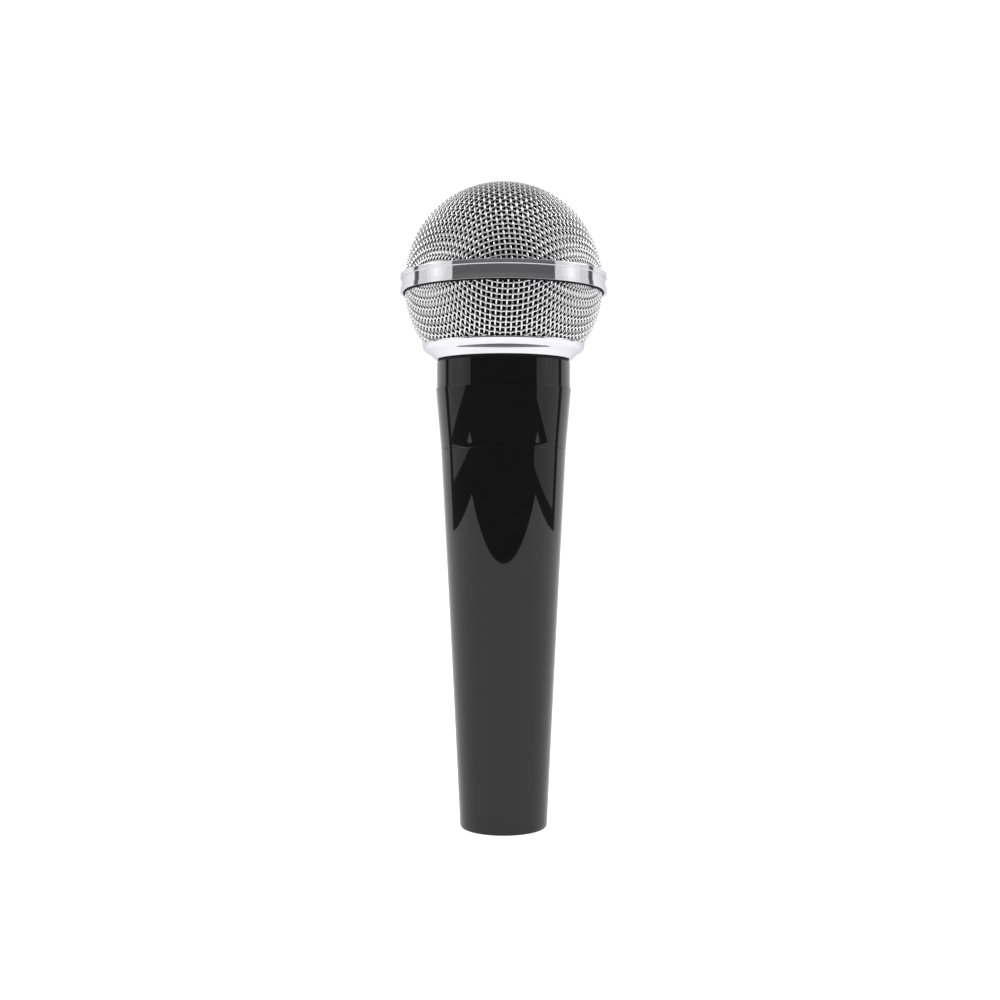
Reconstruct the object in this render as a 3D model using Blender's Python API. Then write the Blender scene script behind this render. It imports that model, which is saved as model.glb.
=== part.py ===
"""A handheld dynamic vocal microphone, built as its separate pieces.

Lengths in this file are millimetres and angles are degrees; every mesh is scaled to metres as
it is made. The microphone stands upright on the rim of its socket end. The origin is the centre
of that rim, +Z runs up the axis to the top of the ball grille, and -Y is the front.

Four groups move. The ball grille unscrews: it turns on the sleeve's thread and lifts by one
thread pitch a turn, and the washer under its collar lifts with it. The capsule floats along the
axis on its rubber mount, and the diaphragm with its voice coil travels along the axis in the
magnet's gap. Everything else belongs to the handle.
"""

import math

import bmesh
import bpy
from mathutils import Matrix, Vector

MM = 0.001
TURN = 2.0 * math.pi

# Clearances
GAP = 0.3               # between two pieces that touch
SEAT_GAP = 0.2          # above and below the washer under the collar

# Facets round a turned piece
OUTER_FACETS = 40
INNER_FACETS = 24
SMALL_FACETS = 12

# Handle, outside
BASE_RADIUS = 10.69
SEAM_HEIGHT = 92.8
SEAM_RADIUS = 15.33
SHOULDER_HEIGHT = 107.6
SHOULDER_RADIUS = 16.62
BASE_EDGE = 0.7         # rounding of the rim it stands on
SEAM_CHAMFER = 0.15
SEAM_GAP = 0.2

# Handle, inside
SOCKET_RADIUS = 8.2
SOCKET_TOP = 22.0
HANDLE_WALL = 1.9
SPIGOT_BORE = 12.2
SPIGOT_RADIUS = 13.6
SPIGOT_TOP = 99.5
SPIGOT_ROOT = 84.0      # height where the wall thickens into the spigot
UPPER_BORE = 14.0

# Head sleeve and the grille's thread
SLEEVE_RADIUS = 16.4
SLEEVE_BORE = 13.4
SLEEVE_SPIGOT = 14.7
SLEEVE_FOOT = 102.5
SLEEVE_LEDGE = 113.8    # where the washer sits
SLEEVE_TOP = 119.4
PITCH = 1.5
MALE_ROOT = 14.6
MALE_CREST = 15.4
FEMALE_ROOT = 15.8
FEMALE_CREST = 15.0
THREAD_START = 115.5
THREAD_TURNS = 2.3
RIDGE_FOOT = 0.8        # width of the ridge at its root
RIDGE_CREST = 0.25

# Ball grille
BALL_RADIUS = 24.4
BALL_CENTRE = 133.85
CUP_CENTRE = 132.8      # the cup's centre is a little lower, so the ball is slightly tall
MESH_DEPTH = 1.0        # thickness of the woven wire
BAND_RADIUS = 25.4
BAND_WAIST = 25.05
BAND_BORE = 24.7
BAND_LOW = 131.0
BAND_HIGH = 135.5
BAND_LIP = 1.1
BAND_BEVEL = 0.25
RIM_OVERLAP = 1.8       # how far the dome and the cup reach inside the band
HOOP_DEPTH = 0.7
COLLAR_RADIUS = 19.95
COLLAR_LIP = 118.2
COLLAR_FOOT = 114.7
CONE_BENDS = ((17.6, 115.45), (18.45, 116.15), (19.55, 116.85))    # radius and height
COLLAR_EDGE = 117.4     # where the lip's straight side begins
SPIGOT_LIP = 18.15      # the collar's inner rim, which the cup's edge fits round
SPIGOT_TOP_RISE = 2.1   # of the inner rim above the lip
CUP_EDGE = 118.5
WASHER_BORE = 15.6

# Foam lining
FOAM_GAP = 0.4
DOME_FOAM_DEPTH = 3.5
CUP_FOAM_DEPTH = 2.2

# Capsule
CAPSULE_RADIUS = 14.4
CAPSULE_BORE = 13.0
CAPSULE_TOP = 138.6
HOUSING_TOP = 136.0
HOUSING_FLOOR = 123.0
HOUSING_SHOULDER = 121.5
NECK_RADIUS = 11.3
NECK_BORE = 10.0
NECK_FOOT = 110.0
CHAMBER_FOOT = 84.0
CHAMBER_WAIST = 9.8
CHAMBER_WALL = 1.2
CHAMBER_BEND = 97.0     # where the chamber widens to the neck
CHAMBER_HOLE = 1.0
CAP_DEPTH = 1.0
CAP_HOLE = 1.5
SCREEN_FOOT = 136.5
SCREEN_DEPTH = 0.4
SCREEN_RADIUS = 12.6
SCREEN_HOLE = 0.6
FELT_FOOT = 107.6
FELT_DEPTH = 1.2
FELT_HOLE = 1.2
SHAFT_RADIUS = 1.6      # of the hole through yoke, magnet and pole piece
YOKE_RADIUS = 12.7
YOKE_BORE = 11.0
YOKE_FLOOR = 2.0
MAGNET_RADIUS = 8.2
POLE_RADIUS = 9.2
POLE_DEPTH = 1.8
CLAMP_FOOT = 132.4
CLAMP_TOP = 134.6
CLAMP_WALL = 0.45
COIL_INNER = 9.75
COIL_OUTER = 10.45
GAP_TOP = 132.0         # top of the magnet's working gap
COIL_HEIGHT = 3.6
FILM = 0.3
FILM_SEAT = 133.5
FILM_SPHERE = 30.0      # radius of the diaphragm's dome
FILM_EDGE = 11.9
BOARD_RADIUS = 6.0
BOARD_DEPTH = 1.2
TERMINAL_PLACE = 3.2
LUG_FOOT = 77.5
LUG_WIDTH = 1.8
LUG_DEPTH = 0.5

# Rubber mount of the capsule
MOUNT_FOOT = 111.0
RIB_PITCH = 2.9
RIB_DEPTH = 0.7
RIB_RISE = 0.7
RIB_WIDTH = 0.8

# Transformer
CORE_WIDTH = 15.0
CORE_DEPTH = 8.0
CORE_FOOT = 50.0
CORE_TOP = 64.0
LEG_WIDTH = 4.4
YOKE_HEIGHT = 2.4
CRADLE_RADIUS = 10.7
CRADLE_GRIP = 2.5       # how far a cradle reaches along the core
CRADLE_BACK = 3.3       # how far a cradle reaches beyond the core
BOBBIN_WALL = 0.4
FLANGE_DEPTH = 0.7
FLANGE_REACH = 3.0      # of the bobbin's flanges beyond the core's faces
LEAD_HOLES = ((-3.4, -7.6), (3.4, -7.6), (0.0, 7.6))
LEAD_HOLE_RADIUS = 1.1

# Socket
INSERT_FACE = 14.5
INSERT_TOP = 21.0
INSERT_RADIUS = 7.9
PIN_RADIUS = 1.2
PIN_PLACES = ((-3.81, 2.03), (3.81, 2.03), (0.0, -4.32))
PIN_TIPS = (1.8, 2.8, 2.8)
PIN_TAIL = 25.0
PIN_NECK = 1.0
SCREW_HEIGHT = 17.8
SCREW_HOLE = 1.35
SCREW_POCKET = 4.4      # distance of the screw hole's inner end from the axis
CLIP_THICKNESS = 0.4
CLIP_WIDTH = 2.4
CLIP_RISE = 4.5
LATCH_LOW = (-2.5, 7.2, 4.0)
LATCH_HIGH = (2.5, 9.1, 8.0)

LEAD_RADIUS = 0.5
LEAD_SPACING = 2.0      # distance between the points of a lead's path

# Colour, roughness and metallic value of each finish
FINISHES = {
    "black_lacquer": ((0.012, 0.012, 0.013), 0.12, 0.0),
    "chrome": ((0.86, 0.86, 0.88), 0.1, 1.0),
    "steel_wire": ((0.62, 0.62, 0.63), 0.25, 1.0),
    "steel": ((0.5, 0.5, 0.52), 0.35, 1.0),
    "foam": ((0.03, 0.03, 0.035), 0.95, 0.0),
    "rubber": ((0.02, 0.02, 0.02), 0.7, 0.0),
    "dark_plastic": ((0.04, 0.04, 0.045), 0.45, 0.0),
    "green_plastic": ((0.03, 0.2, 0.12), 0.45, 0.0),
    "felt": ((0.5, 0.47, 0.4), 0.95, 0.0),
    "clear_film": ((0.7, 0.66, 0.5), 0.2, 0.0),
    "copper": ((0.75, 0.34, 0.16), 0.3, 1.0),
    "brass": ((0.78, 0.6, 0.27), 0.3, 1.0),
    "magnet": ((0.33, 0.33, 0.35), 0.4, 1.0),
    "board": ((0.35, 0.2, 0.08), 0.6, 0.0),
    "silver": ((0.8, 0.8, 0.78), 0.25, 1.0),
    "red_cover": ((0.5, 0.03, 0.03), 0.5, 0.0),
    "white_cover": ((0.7, 0.7, 0.68), 0.5, 0.0),
    "yellow_cover": ((0.75, 0.55, 0.05), 0.5, 0.0),
}


def clear_scene():
    for old in list(bpy.data.objects):
        bpy.data.objects.remove(old, do_unlink=True)


def material_for(name, finish):
    colour, roughness, metallic = FINISHES[finish]
    material = bpy.data.materials.new(name)
    material.use_nodes = True
    shader = material.node_tree.nodes["Principled BSDF"]
    shader.inputs["Base Color"].default_value = (*colour, 1.0)
    shader.inputs["Roughness"].default_value = roughness
    shader.inputs["Metallic"].default_value = metallic
    return material


def place(name, shape, finish, at=(0.0, 0.0, 0.0), turn=0.0):
    """Makes an object of a bmesh in millimetres, turned about +Z and moved to at."""
    bmesh.ops.remove_doubles(shape, verts=shape.verts, dist=0.001)
    bmesh.ops.recalc_face_normals(shape, faces=shape.faces)
    bmesh.ops.scale(shape, vec=(MM, MM, MM), verts=shape.verts)
    mesh = bpy.data.meshes.new(name)
    shape.to_mesh(mesh)
    shape.free()
    mesh.shade_smooth()
    mesh.set_sharp_from_angle(angle=math.radians(35.0))
    made = bpy.data.objects.new(name, mesh)
    mesh.materials.append(material_for(name, finish))
    made.location = Vector(at) * MM
    made.rotation_euler.z = math.radians(turn)
    bpy.context.scene.collection.objects.link(made)
    return made


def boolean(target, tool, operation):
    """Cuts tool from target, or joins it on. The tool stays in the file as a wire guide."""
    tool.hide_render = True
    tool.display_type = "WIRE"
    step = target.modifiers.new(tool.name, "BOOLEAN")
    step.operation = operation
    step.object = tool


def cut(target, tool):
    boolean(target, tool, "DIFFERENCE")


def join(target, tool):
    boolean(target, tool, "UNION")


def arc(centre, radius, start, end, steps):
    """Points (r, z) on a round stretch of an outline, with both ends."""
    angles = [math.radians(start + (end - start) * i / steps) for i in range(steps + 1)]
    return [(centre[0] + radius * math.cos(a), centre[1] + radius * math.sin(a)) for a in angles]


def turned_shape(outline, facets):
    """A body of revolution about +Z from an outline of (r, z) points. An outline that starts
    and ends on the axis is closed by the axis itself."""
    shape = bmesh.new()
    points = [shape.verts.new((radius, 0.0, height)) for radius, height in outline]
    pairs = list(zip(points, points[1:]))
    if outline[0][0] > 0.0 or outline[-1][0] > 0.0:
        pairs.append((points[-1], points[0]))
    edges = [shape.edges.new(pair) for pair in pairs]
    bmesh.ops.spin(
        shape, geom=points + edges, cent=(0, 0, 0), axis=(0, 0, 1), angle=TURN, steps=facets,
        use_merge=True,
    )
    return shape


def turned(name, outline, finish, facets=OUTER_FACETS, at=(0.0, 0.0, 0.0)):
    return place(name, turned_shape(outline, facets), finish, at)


def box_shape(low, high):
    shape = bmesh.new()
    size = [b - a for a, b in zip(low, high)]
    centre = [(a + b) / 2.0 for a, b in zip(low, high)]
    bmesh.ops.create_cube(
        shape, size=1.0, matrix=Matrix.Translation(centre) @ Matrix.Diagonal((*size, 1.0)),
    )
    return shape


def box(name, low, high, finish, turn=0.0):
    return place(name, box_shape(low, high), finish, turn=turn)


def rods_shape(places, radius, low, high, facets=SMALL_FACETS):
    """Upright round rods, as one shape: the cutter for a set of holes."""
    shape = bmesh.new()
    for x, y in places:
        bmesh.ops.create_cone(
            shape, cap_ends=True, segments=facets, radius1=radius, radius2=radius,
            depth=high - low, matrix=Matrix.Translation((x, y, (low + high) / 2.0)),
        )
    return shape


def ring_places(radius, count, first=0.0):
    angles = [math.radians(first) + TURN * i / count for i in range(count)]
    return [(radius * math.cos(a), radius * math.sin(a)) for a in angles]


def strip_shape(path, thickness, width):
    """A bent strip of sheet metal: path is its lower edge in the XZ plane, from end to end."""
    lower = [Vector((x, z)) for x, z in path]
    upper = []
    for i, point in enumerate(lower):
        before = (point - lower[i - 1]).normalized() if i else (lower[1] - point).normalized()
        after = (lower[i + 1] - point).normalized() if i + 1 < len(lower) else before
        along = (before + after).normalized()
        normal = Vector((-along.y, along.x))
        tilt = normal.dot(Vector((-before.y, before.x)))
        upper.append(point + normal * thickness / max(tilt, 0.5))
    shape = bmesh.new()
    corners = [shape.verts.new((p.x, -width / 2.0, p.y)) for p in lower + upper[::-1]]
    side = shape.faces.new(corners)
    grown = bmesh.ops.extrude_face_region(shape, geom=[side])
    moved = [item for item in grown["geom"] if isinstance(item, bmesh.types.BMVert)]
    bmesh.ops.translate(shape, vec=(0.0, width, 0.0), verts=moved)
    return shape


def ridge_shape(root, crest, first_height, turns, facets=OUTER_FACETS):
    """A right-handed thread ridge. It is sunk a little below root, so that it joins the wall,
    and both its ends fade into the wall."""
    sunk = 0.25 if crest > root else -0.25
    steps = round(turns * facets)
    fade = facets // 8
    shape = bmesh.new()
    rings = []
    for i in range(steps + 1):
        rise = min(1.0, min(i, steps - i) / fade)
        angle = TURN * i / facets
        height = first_height + PITCH * i / facets
        top = root - sunk * 0.4 + (crest - root + sunk * 0.4) * rise
        section = (
            (root - sunk, -RIDGE_FOOT / 2.0), (top, -RIDGE_CREST / 2.0),
            (top, RIDGE_CREST / 2.0), (root - sunk, RIDGE_FOOT / 2.0),
        )
        rings.append([
            shape.verts.new((r * math.cos(angle), r * math.sin(angle), height + z))
            for r, z in section
        ])
    for here, there in zip(rings, rings[1:]):
        for i in range(4):
            shape.faces.new((here[i], here[i - 1], there[i - 1], there[i]))
    shape.faces.new(rings[0])
    shape.faces.new(rings[-1][::-1])
    return shape


def handle_radius(height):
    """Outer radius of the lower handle: a taper with a very slight flare."""
    rise = height / SEAM_HEIGHT
    flare = 0.2
    return BASE_RADIUS + (SEAM_RADIUS - BASE_RADIUS) * rise - flare * rise * (1.0 - rise)


# Ball grille ---------------------------------------------------------------------------------


def arc_to_heights(centre, radius, low, high, steps):
    """An arc about a point on the axis, from one height to another."""
    sines = [min(1.0, (height - centre) / radius) for height in (low, high)]
    angles = [math.degrees(math.asin(sine)) for sine in sines]
    return arc((0.0, centre), radius, *angles, steps)


def cup_outline(outer, depth, low, high, steps):
    """A thin bowl with its rims at two heights."""
    inner = outer - depth
    rising = arc_to_heights(CUP_CENTRE, outer, low, high, steps)
    return rising + arc_to_heights(CUP_CENTRE, inner, high, low, steps)


def dome_outline(outer, depth, low, steps):
    """A thin dome, from the pole's inner face to its outer face by way of the rim."""
    inner = outer - depth
    falling = arc_to_heights(BALL_CENTRE, inner, BALL_CENTRE + inner, low, steps)
    rising = arc_to_heights(BALL_CENTRE, outer, low, BALL_CENTRE + outer, steps)
    falling[0] = (0.0, BALL_CENTRE + inner)
    rising[-1] = (0.0, BALL_CENTRE + outer)
    return falling + rising


def make_grille():
    turned(
        "grille_dome",
        dome_outline(BALL_RADIUS, MESH_DEPTH, BAND_HIGH - RIM_OVERLAP, 9),
        "steel_wire",
    )
    turned(
        "grille_cup",
        cup_outline(BALL_RADIUS, MESH_DEPTH, CUP_EDGE, BAND_LOW + RIM_OVERLAP, 6),
        "steel_wire",
    )
    make_band()
    hoop_outer = BALL_RADIUS - MESH_DEPTH - FOAM_GAP
    turned(
        "mesh_hoop",
        [
            (hoop_outer - HOOP_DEPTH, BAND_LOW + FOAM_GAP), (hoop_outer, BAND_LOW + FOAM_GAP),
            (hoop_outer, BAND_HIGH - FOAM_GAP), (hoop_outer - HOOP_DEPTH, BAND_HIGH - FOAM_GAP),
        ],
        "steel",
        INNER_FACETS,
    )
    make_collar()
    foam_outer = BALL_RADIUS - MESH_DEPTH - FOAM_GAP
    turned(
        "foam_dome",
        dome_outline(foam_outer, DOME_FOAM_DEPTH, BAND_HIGH + 0.2, 6),
        "foam",
        INNER_FACETS,
    )
    turned(
        "foam_strip",
        cup_outline(foam_outer, CUP_FOAM_DEPTH, COLLAR_LIP + 2.6, BAND_LOW, 4),
        "foam",
        INNER_FACETS,
    )


def make_band():
    """The band: a lip along each edge and a shallow groove between them."""
    groove_low, groove_high = BAND_LOW + BAND_LIP, BAND_HIGH - BAND_LIP
    turned(
        "grille_band",
        [
            (BAND_BORE, BAND_LOW), (BAND_RADIUS - BAND_BEVEL, BAND_LOW),
            (BAND_RADIUS, BAND_LOW + BAND_BEVEL), (BAND_RADIUS, groove_low - BAND_BEVEL),
            (BAND_WAIST, groove_low + BAND_BEVEL), (BAND_WAIST, groove_high - BAND_BEVEL),
            (BAND_RADIUS, groove_high + BAND_BEVEL), (BAND_RADIUS, BAND_HIGH - BAND_BEVEL),
            (BAND_RADIUS - BAND_BEVEL, BAND_HIGH), (BAND_BORE, BAND_HIGH),
        ],
        "chrome",
    )


def make_collar():
    """The collar: a lip that the cup sits on, a hollow cone below it, and the female thread."""
    cone_foot = SLEEVE_RADIUS + 0.35
    collar = turned(
        "grille_collar",
        [
            (FEMALE_ROOT, COLLAR_FOOT), (cone_foot, COLLAR_FOOT), *CONE_BENDS,
            (COLLAR_RADIUS, COLLAR_EDGE),
            (COLLAR_RADIUS, COLLAR_LIP - 0.3), (COLLAR_RADIUS - 0.3, COLLAR_LIP),
            (SPIGOT_LIP, COLLAR_LIP), (SPIGOT_LIP, COLLAR_LIP + SPIGOT_TOP_RISE),
            (FEMALE_ROOT, COLLAR_LIP + SPIGOT_TOP_RISE),
        ],
        "chrome",
    )
    ridge = ridge_shape(FEMALE_ROOT, FEMALE_CREST, THREAD_START + PITCH / 2.0, THREAD_TURNS - 0.3)
    join(collar, place("collar_thread_ridge", ridge, "chrome"))


def make_washer():
    turned(
        "seat_washer",
        [
            (WASHER_BORE, SLEEVE_LEDGE + SEAT_GAP), (SLEEVE_RADIUS, SLEEVE_LEDGE + SEAT_GAP),
            (SLEEVE_RADIUS, COLLAR_FOOT - SEAT_GAP), (WASHER_BORE, COLLAR_FOOT - SEAT_GAP),
        ],
        "rubber",
    )


# Capsule -------------------------------------------------------------------------------------


def make_capsule():
    turned(
        "capsule_housing",
        [
            (NECK_BORE, NECK_FOOT), (NECK_RADIUS, NECK_FOOT), (NECK_RADIUS, HOUSING_SHOULDER),
            (CAPSULE_RADIUS - 0.4, HOUSING_SHOULDER), (CAPSULE_RADIUS, HOUSING_SHOULDER + 0.4),
            (CAPSULE_RADIUS, HOUSING_TOP), (CAPSULE_BORE, HOUSING_TOP),
            (CAPSULE_BORE, HOUSING_FLOOR), (NECK_BORE, HOUSING_FLOOR),
        ],
        "dark_plastic",
        INNER_FACETS,
    )
    make_cap()
    make_motor()
    outer, inner = CHAMBER_WAIST, CHAMBER_WAIST - CHAMBER_WALL
    neck_inner = NECK_RADIUS - CHAMBER_WALL
    chamber_top = NECK_FOOT - GAP
    bevel = 0.6
    turned(
        "rear_chamber",
        [
            (CHAMBER_HOLE, CHAMBER_FOOT), (outer - bevel, CHAMBER_FOOT),
            (outer, CHAMBER_FOOT + bevel), (outer, CHAMBER_BEND),
            (NECK_RADIUS, CHAMBER_BEND + 2.0), (NECK_RADIUS, chamber_top),
            (neck_inner, chamber_top), (neck_inner, CHAMBER_BEND + 2.0 + bevel),
            (inner, CHAMBER_BEND + bevel), (inner, CHAMBER_FOOT + CHAMBER_WALL),
            (CHAMBER_HOLE, CHAMBER_FOOT + CHAMBER_WALL),
        ],
        "dark_plastic",
        INNER_FACETS,
    )
    turned(
        "damping_disc",
        [
            (FELT_HOLE, FELT_FOOT), (NECK_BORE - GAP, FELT_FOOT),
            (NECK_BORE - GAP, FELT_FOOT + FELT_DEPTH), (FELT_HOLE, FELT_FOOT + FELT_DEPTH),
        ],
        "felt",
        INNER_FACETS,
    )
    make_terminals()


def make_cap():
    """The front cap: a skirt on the housing's edge and a perforated front, over a screen."""
    cap = turned(
        "capsule_cap",
        [
            (0.0, CAPSULE_TOP - CAP_DEPTH), (CAPSULE_BORE, CAPSULE_TOP - CAP_DEPTH),
            (CAPSULE_BORE, HOUSING_TOP + GAP), (CAPSULE_RADIUS, HOUSING_TOP + GAP),
            (CAPSULE_RADIUS, CAPSULE_TOP - 0.5), (CAPSULE_RADIUS - 0.5, CAPSULE_TOP),
            (0.0, CAPSULE_TOP),
        ],
        "dark_plastic",
        INNER_FACETS,
    )
    places = [(0.0, 0.0)] + ring_places(4.9, 6) + ring_places(9.6, 10, 15.0)
    low, high = CAPSULE_TOP - 2.0, CAPSULE_TOP + 1.0
    cut(cap, place("cap_holes", rods_shape(places, CAP_HOLE, low, high, 6), "dark_plastic"))
    turned(
        "capsule_screen",
        [
            (SCREEN_HOLE, SCREEN_FOOT), (SCREEN_RADIUS, SCREEN_FOOT),
            (SCREEN_RADIUS, SCREEN_FOOT + SCREEN_DEPTH),
            (SCREEN_HOLE, SCREEN_FOOT + SCREEN_DEPTH),
        ],
        "steel_wire",
        INNER_FACETS,
    )


def make_motor():
    """Yoke, magnet and pole piece, with the ring that clamps the diaphragm's edge."""
    yoke_foot = HOUSING_FLOOR + GAP
    floor = yoke_foot + YOKE_FLOOR
    turned(
        "yoke_cup",
        [
            (SHAFT_RADIUS, yoke_foot), (YOKE_RADIUS, yoke_foot), (YOKE_RADIUS, GAP_TOP),
            (YOKE_BORE, GAP_TOP), (YOKE_BORE, floor), (SHAFT_RADIUS, floor),
        ],
        "steel",
        INNER_FACETS,
    )
    magnet_foot = floor + GAP
    pole_foot = GAP_TOP - POLE_DEPTH
    magnet_top = pole_foot - GAP
    turned(
        "magnet",
        [
            (SHAFT_RADIUS, magnet_foot), (MAGNET_RADIUS, magnet_foot),
            (MAGNET_RADIUS, magnet_top), (SHAFT_RADIUS, magnet_top),
        ],
        "magnet",
        INNER_FACETS,
    )
    turned(
        "pole_piece",
        [
            (SHAFT_RADIUS, pole_foot), (POLE_RADIUS, pole_foot), (POLE_RADIUS, GAP_TOP),
            (SHAFT_RADIUS, GAP_TOP),
        ],
        "steel",
        INNER_FACETS,
    )
    clamp = CAPSULE_BORE - GAP
    turned(
        "diaphragm_ring",
        [
            (clamp - CLAMP_WALL, CLAMP_FOOT), (clamp, CLAMP_FOOT), (clamp, CLAMP_TOP),
            (clamp - CLAMP_WALL, CLAMP_TOP),
        ],
        "brass",
        INNER_FACETS,
    )


def make_terminals():
    board_top = CHAMBER_FOOT - GAP
    board_foot = board_top - BOARD_DEPTH
    turned(
        "terminal_board",
        [
            (CHAMBER_HOLE, board_foot), (BOARD_RADIUS, board_foot), (BOARD_RADIUS, board_top),
            (CHAMBER_HOLE, board_top),
        ],
        "board",
        INNER_FACETS,
    )
    for number, side in ((1, -1.0), (2, 1.0)):
        middle = side * TERMINAL_PLACE
        box(
            f"terminal_lug_{number}",
            (middle - LUG_WIDTH / 2.0, -LUG_DEPTH / 2.0, LUG_FOOT),
            (middle + LUG_WIDTH / 2.0, LUG_DEPTH / 2.0, board_foot - GAP),
            "silver",
        )


def make_moving_system():
    """The diaphragm, a dome with one round roll to its edge, and the coil hung under it."""
    dome_edge = COIL_OUTER
    sink = math.sqrt(FILM_SPHERE ** 2 - dome_edge ** 2)
    dome_end = math.degrees(math.asin(sink / FILM_SPHERE))
    roll_radius = (FILM_EDGE - dome_edge) / 2.0
    roll = arc((dome_edge + roll_radius, FILM_SEAT), roll_radius, 180.0, 0.0, 4)
    top = arc((0.0, FILM_SEAT - sink + FILM), FILM_SPHERE, 90.0, dome_end, 5)
    top += [(r, z + FILM) for r, z in roll]
    under = roll[::-1] + arc((0.0, FILM_SEAT - sink), FILM_SPHERE, dome_end, 90.0, 5)
    top[0] = (0.0, top[0][1])
    under[-1] = (0.0, under[-1][1])
    turned("diaphragm", top + under, "clear_film", INNER_FACETS)
    coil_top = FILM_SEAT - GAP
    coil_foot = coil_top - COIL_HEIGHT
    turned(
        "voice_coil",
        [
            (COIL_INNER, coil_foot), (COIL_OUTER, coil_foot),
            (COIL_OUTER, coil_top), (COIL_INNER, coil_top),
        ],
        "copper",
        INNER_FACETS,
    )


# Handle --------------------------------------------------------------------------------------


def make_head_sleeve():
    sleeve_foot = SHOULDER_HEIGHT + GAP
    sleeve = turned(
        "head_sleeve",
        [
            (SLEEVE_BORE, SLEEVE_FOOT), (SLEEVE_SPIGOT, SLEEVE_FOOT),
            (SLEEVE_SPIGOT, sleeve_foot), (SLEEVE_RADIUS, sleeve_foot),
            (SLEEVE_RADIUS, SLEEVE_LEDGE), (MALE_ROOT, SLEEVE_LEDGE),
            (MALE_ROOT, SLEEVE_TOP), (SLEEVE_BORE, SLEEVE_TOP),
        ],
        "black_lacquer",
    )
    ridge = ridge_shape(MALE_ROOT, MALE_CREST, THREAD_START, THREAD_TURNS)
    join(sleeve, place("sleeve_thread_ridge", ridge, "black_lacquer"))


def make_upper_handle():
    foot = SEAM_HEIGHT + SEAM_GAP
    turned(
        "upper_handle",
        [
            (UPPER_BORE, foot), (SEAM_RADIUS - SEAM_CHAMFER, foot),
            (SEAM_RADIUS, foot + SEAM_CHAMFER), (SHOULDER_RADIUS, SHOULDER_HEIGHT - 0.2),
            (SHOULDER_RADIUS - 0.2, SHOULDER_HEIGHT), (SLEEVE_SPIGOT + GAP, SHOULDER_HEIGHT),
            (SLEEVE_SPIGOT + GAP, SLEEVE_FOOT - GAP), (UPPER_BORE, SLEEVE_FOOT - GAP),
        ],
        "black_lacquer",
    )


def make_lower_handle():
    """The long tapered tube. Its foot is the shell of the 3-pin socket, with a recess for the
    plug's latch, and its head is a spigot inside the upper handle."""
    heights = [SEAM_HEIGHT * step / 4.0 for step in range(1, 4)]
    outside = arc((BASE_RADIUS - BASE_EDGE, BASE_EDGE), BASE_EDGE, -90.0, 0.0, 3)
    outside += [(handle_radius(z), z) for z in heights]
    outside += [
        (SEAM_RADIUS, SEAM_HEIGHT - SEAM_CHAMFER), (SEAM_RADIUS - SEAM_CHAMFER, SEAM_HEIGHT),
        (SPIGOT_RADIUS, SEAM_HEIGHT), (SPIGOT_RADIUS, SPIGOT_TOP),
    ]
    inside = [
        (SPIGOT_BORE, SPIGOT_TOP), (SPIGOT_BORE, SPIGOT_ROOT + 2.0),
        (handle_radius(SPIGOT_ROOT) - HANDLE_WALL, SPIGOT_ROOT),
        (handle_radius(SOCKET_TOP) - HANDLE_WALL, SOCKET_TOP), (SOCKET_RADIUS, SOCKET_TOP),
        (SOCKET_RADIUS, 0.6), (SOCKET_RADIUS + 0.6, 0.0),
    ]
    handle = turned("lower_handle", outside + inside, "black_lacquer")
    cut(handle, box("latch_recess", LATCH_LOW, LATCH_HIGH, "black_lacquer"))
    cut(handle, screw_rod("screw_pocket", SCREW_HOLE, SOCKET_RADIUS - 1.0, SOCKET_RADIUS + 1.4))


def screw_rod(name, radius, start, end, finish="steel"):
    """A round rod along +Y at the lock screw's height, from start to end."""
    shape = bmesh.new()
    bmesh.ops.create_cone(
        shape, cap_ends=True, segments=SMALL_FACETS, radius1=radius, radius2=radius,
        depth=end - start,
        matrix=Matrix.Translation((0.0, (start + end) / 2.0, SCREW_HEIGHT))
        @ Matrix.Rotation(TURN / 4.0, 4, "X"),
    )
    return place(name, shape, finish)


def make_shock_mount():
    """A rubber bellows between the capsule's neck and the sleeve's bore, with a seat on top."""
    inner = NECK_RADIUS + GAP
    outer = SLEEVE_BORE - GAP
    waist = outer - RIB_DEPTH
    outside = []
    for height in (MOUNT_FOOT, MOUNT_FOOT + RIB_PITCH, MOUNT_FOOT + 2.0 * RIB_PITCH):
        outside += [
            (waist, height), (outer, height + RIB_RISE),
            (outer, height + RIB_RISE + RIB_WIDTH), (waist, height + 2.0 * RIB_RISE + RIB_WIDTH),
        ]
    seat = SLEEVE_TOP + GAP
    turned(
        "shock_mount",
        [(inner, MOUNT_FOOT)] + outside + [
            (waist, seat), (CAPSULE_RADIUS - 0.2, seat),
            (CAPSULE_RADIUS - 0.2, HOUSING_SHOULDER - GAP), (inner, HOUSING_SHOULDER - GAP),
        ],
        "rubber",
        INNER_FACETS,
    )


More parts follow.
